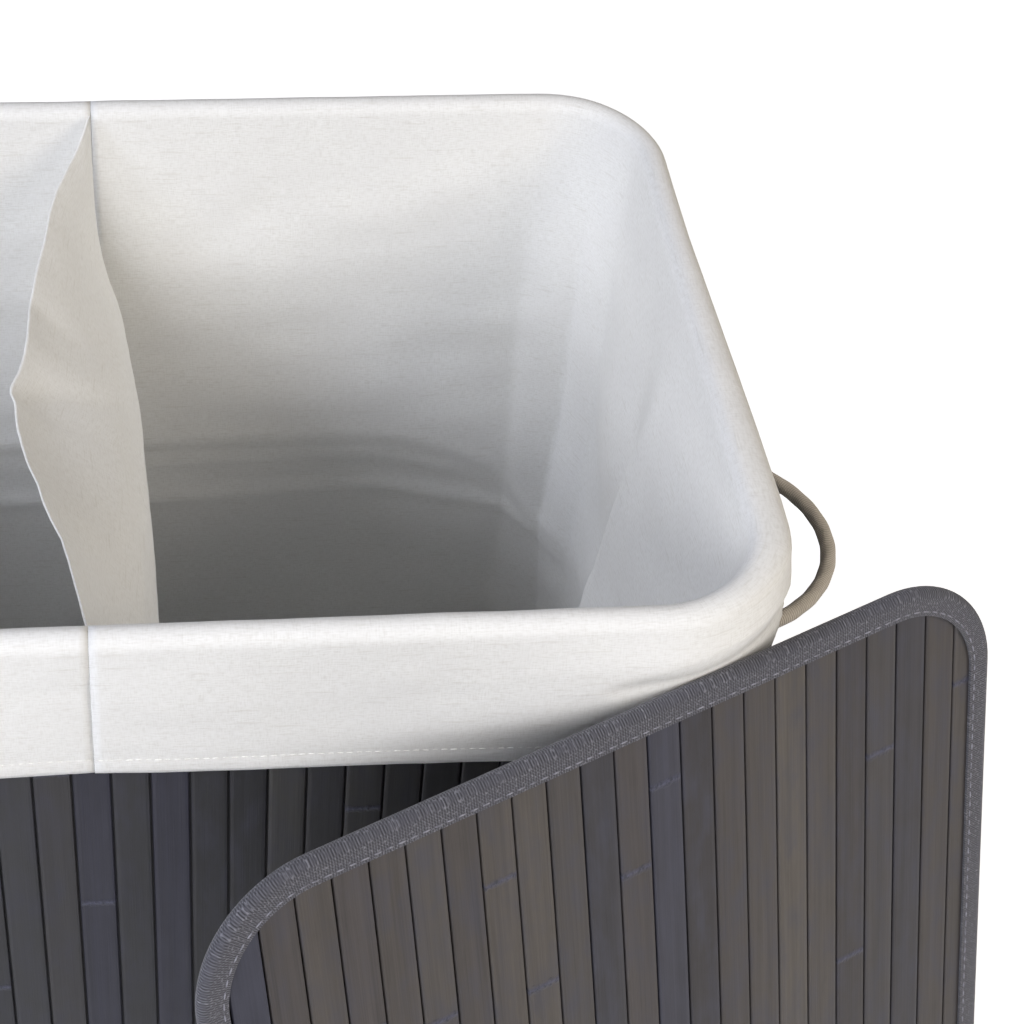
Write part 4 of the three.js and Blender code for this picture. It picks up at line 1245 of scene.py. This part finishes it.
# x is the distance out of the wall, y the distance from the axis. The wall lies from -4.9 to 0.
outline = (lip((0.3, 5.2), 1.0, 1.5 * math.pi, 2 * math.pi)
           + [(1.3, 6.6), (1.15, 7.9)] + lip((0.55, 8.3), 0.5, 0.3, math.pi, 5)
           + [(0.32, 7.0), (0.1, 5.15), (-5.0, 5.15), (-5.2, 7.0)]
           + lip((-5.45, 8.3), 0.5, 0.0, math.pi - 0.3, 5)
           + [(-6.05, 7.9), (-6.2, 6.6)] + lip((-5.2, 5.2), 1.0, math.pi, 1.5 * math.pi))
mesh = bpy.data.meshes.new("eyelet")
mesh.from_pydata([(x * MM, y * MM, 0) for x, y in outline + [outline[0]]],
                 [(i, i + 1) for i in range(len(outline))], [])
eyelet = new_piece("eyelet", mesh)
only(eyelet)
bpy.ops.object.mode_set(mode="EDIT")
bpy.ops.mesh.select_all(action="SELECT")
bpy.ops.mesh.spin(steps=36, angle=2 * math.pi, center=(0, 0, 0), axis=(1, 0, 0))
bpy.ops.mesh.select_all(action="SELECT")
bpy.ops.mesh.remove_doubles(threshold=0.00001)
bpy.ops.mesh.normals_make_consistent(inside=False)
bpy.ops.object.mode_set(mode="OBJECT")
smooth_by_angle(eyelet, 40)

material, tree, shader = start_material("nickel_plated_steel", Metallic=1.0, Roughness=0.3)
spot = add(tree, "TexCoord").outputs["Object"]
haze = add(tree, "TexNoise", {"Vector": spot, "Scale": 260, "Detail": 3})
colour = add(tree, "ValToRGB", {0: haze}, stops=[(0.3, "#a49d90"), (0.7, "#c2bcb0")])
rough = add(tree, "Math", {0: haze, 1: 0.3, 2: 0.16}, operation="MULTIPLY_ADD")
feed(tree, shader, Base_Color=colour, Roughness=rough)
eyelet.data.materials.append(material)
EYELETS = [(side, end, place, y) for side, end in SIDES.items()
           for place, y in (("front", -EYELET_HALF), ("back", EYELET_HALF))]
for side, end, place, y in EYELETS:
    ring = copy_of(eyelet, f"eyelet_ring_{end}_{place}")
    ring.rotation_euler.z = 0 if side > 0 else math.pi
    ring.location = Vector((side * LENGTH / 2, y, EYELET_HEIGHT)) * MM
    bake_place(ring)
    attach(ring, "hamper")
    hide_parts(f"eyelet_{end}_{place}")
bpy.data.objects.remove(eyelet)
print("eyelets are", 2 * max(y for _, y in outline), "mm across")

# %% [markdown]
# ## Stopper knots
# Behind each eyelet the rope is tied in a stopper knot. Only the two turns that show are made:
# the rope leaves the eyelet, winds round itself and tucks its end in. It is the same tube as the
# handle, on a short coil, pulled tight.

# %% Stopper knots
KNOT_ROPE = 2.9  # the rope's radius, pulled thin
KNOT_COIL, KNOT_TURNS, KNOT_STEPS = 5.2, 2.2, 60


def knot_route(side, y):
    points = [Vector((-1.0 - 1.2 * i, 0, 0)) for i in range(6)]
    for share in [i / KNOT_STEPS for i in range(KNOT_STEPS + 1)]:
        coil = KNOT_COIL * smooth(0, 0.22, share) * smooth(1.12, 0.9, share)
        angle = 2 * math.pi * KNOT_TURNS * share
        points.append(Vector((-8.2 - 3.4 * smooth(0, 1, share), coil * math.cos(angle),
                              coil * math.sin(angle))))
    at = Vector((side * LENGTH / 2, y, EYELET_HEIGHT))
    return [(at + Vector((side * p.x, p.y, p.z))) * MM for p in points]


for side, end, place, y in EYELETS:
    route = even(knot_route(side, y), 0.5 * MM)
    knot = tube(f"rope_knot_{end}_{place}", route, KNOT_ROPE * MM, 16, rope_profile)
    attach(knot, "hamper")
    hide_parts(f"knot_{end}_{place}")
    knot.data.materials.append(ROPE_COTTON)
for rope in ropes:
    rope.data.materials.append(ROPE_COTTON)

# %% [markdown]
# ## Stitches
# The tape is held by a line of long stitches near its inner edge, through both of its legs, and
# the cuff's hem by a line of short ones. One stitch is a thin grain of thread, half sunk in the
# cloth. It is made once and laid along each line by its place and its direction.

# %% Laying stitches
def all_round(run_x, run_y, corner, gap):
    """Places a gap apart round a rounded rectangle in mm, each with its outward direction."""
    spots = []
    for turned in range(4):
        half, other = (run_x, run_y) if turned % 2 == 0 else (run_y, run_x)
        quarter = Matrix.Rotation(turned * QUARTER, 2)
        for x in steps(-half, half, gap)[:-1]:
            spots.append((quarter @ Vector((x, -other - corner)), quarter @ Vector((0, -1))))
        for angle in steps(0, QUARTER, gap / corner)[:-1]:
            out = Vector((math.sin(angle), -math.cos(angle)))
            spots.append((quarter @ (Vector((half, -other)) + out * corner), quarter @ out))
    return spots


def lay_stitches(name, spots, length, thread):
    """spots holds (middle, along, out) in mm, and length and thread are the stitch's, in mm."""
    clear_selection()
    bpy.ops.mesh.primitive_uv_sphere_add(segments=8, ring_count=6, radius=1)
    stitch = bpy.context.object
    stitch.scale = (length / 2 * MM, thread / 2 * MM, thread / 2 * MM)
    bake_place(stitch)
    points, faces = [], []
    for middle, along, out in spots:
        turned = Matrix((along, out.cross(along), out)).transposed()
        first = len(points)
        points += [middle * MM + turned @ vertex.co for vertex in stitch.data.vertices]
        faces += [[first + i for i in polygon.vertices] for polygon in stitch.data.polygons]
    bpy.data.objects.remove(stitch)
    mesh = bpy.data.meshes.new(name)
    mesh.from_pydata(points, [], faces)
    piece = new_piece(name, mesh)
    smooth_by_angle(piece, 60)
    return piece


def stitch_at(at, out, height, faces=None):
    """A stitch's middle, its direction, and the direction it faces."""
    return (Vector((at.x, at.y, height)), Vector((-out.y, out.x, 0)),
            faces or Vector((out.x, out.y, 0)))


# %% Thread
THREAD = {}
for name, dark, pale in (("grey", "#686872", "#91919c"), ("white", "#dcdad5", "#f1f0ed")):
    THREAD[name], tree, shader = start_material(f"polyester_thread_{name}", Roughness=0.6)
    spot = add(tree, "TexCoord").outputs["Object"]
    twist = add(tree, "TexNoise", {"Vector": spot, "Scale": 700, "Detail": 2})
    colour = add(tree, "ValToRGB", {0: twist}, stops=[(0.35, dark), (0.65, pale)])
    feed(tree, shader, Base_Color=colour)

# %% Stitches of the tapes
TAPE_STITCH, HEM_STITCH = (3.4, 0.7), (2.7, 0.5)  # length and thickness
TAPE_STITCH_GAP, HEM_STITCH_GAP = 5.0, 3.6


def upright_line(corner, height):
    """A line of stitches round the hamper's wall, on a face of it."""
    return [stitch_at(at, out, height)
            for at, out in all_round(RUN_X, RUN_Y, corner, TAPE_STITCH_GAP)]


outer, inner = CORNER + WALL_MIDDLE + TAPE_OUTSIDE, CORNER + WALL_MIDDLE - TAPE_OUTSIDE
tape_lines = {"top": FOLD_CENTRE - TAPE_DEPTH + 3, "bottom": TAPE_OUTSIDE + TAPE_DEPTH - 3}
stitched = []
for place, height in tape_lines.items():
    line = upright_line(outer, height) + upright_line(inner, height)
    stitches = lay_stitches(f"stitches_{place}", line, *TAPE_STITCH)
    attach(stitches, "hamper")
    stitched.append(stitches)
line = []
for face in (-1, 1):
    height = LID_MIDDLE + face * LID_OUTSIDE
    inset = LID_TAPE_DEPTH - 1.9
    for at, out in all_round(LID_RUN_X, LID_RUN_Y, LID_RADIUS - inset, TAPE_STITCH_GAP):
        line.append(stitch_at(at, out, height, Vector((0, 0, face))))
stitches = lay_stitches("stitches_lid", line, *TAPE_STITCH)
stitches.matrix_world = stand_lid
bake_place(stitches)
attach(stitches, "lid")
stitched.append(stitches)
for stitches in stitched:
    stitches.data.materials.append(THREAD["grey"])
print("stitches laid:", sum(len(piece.data.polygons) for piece in stitched) // 48)

# %% Stitches of the cuff's hem
for side, name in SIDES.items():
    line = []
    height = HEM + HEM_DEPTH
    for distance in steps(2.2, 2 * BAG_HALF - 2.2, HEM_STITCH_GAP):
        at, out = along_rim(distance)
        spot = at + out * (WALL_MIDDLE + FOLD_RADIUS + cuff_stand(distance, height, side)
                           + CLOTH / 2)
        line.append(stitch_at(Vector((side * spot.x, spot.y)), Vector((side * out.x, out.y)),
                              height))
    stitches = lay_stitches(f"stitches_hem_{name}", line, *HEM_STITCH)
    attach(stitches, "liner")
    stitches.data.materials.append(THREAD["white"])

# %% Put the cloth and the tape in their materials
for cloth in (*bags, *bag_floors, divider_cloth):
    cloth.data.materials.append(COTTON)
for tape in (top_tape, bottom_tape, lid_edge):
    tape.data.materials.append(TAPE_TWILL)

visual_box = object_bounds()
for label, (low, high) in (("CAD", cad_box), ("visual model", visual_box)):
    print(label, "in mm:", *(round(1000 * (b - a), 1) for a, b in zip(low, high)))
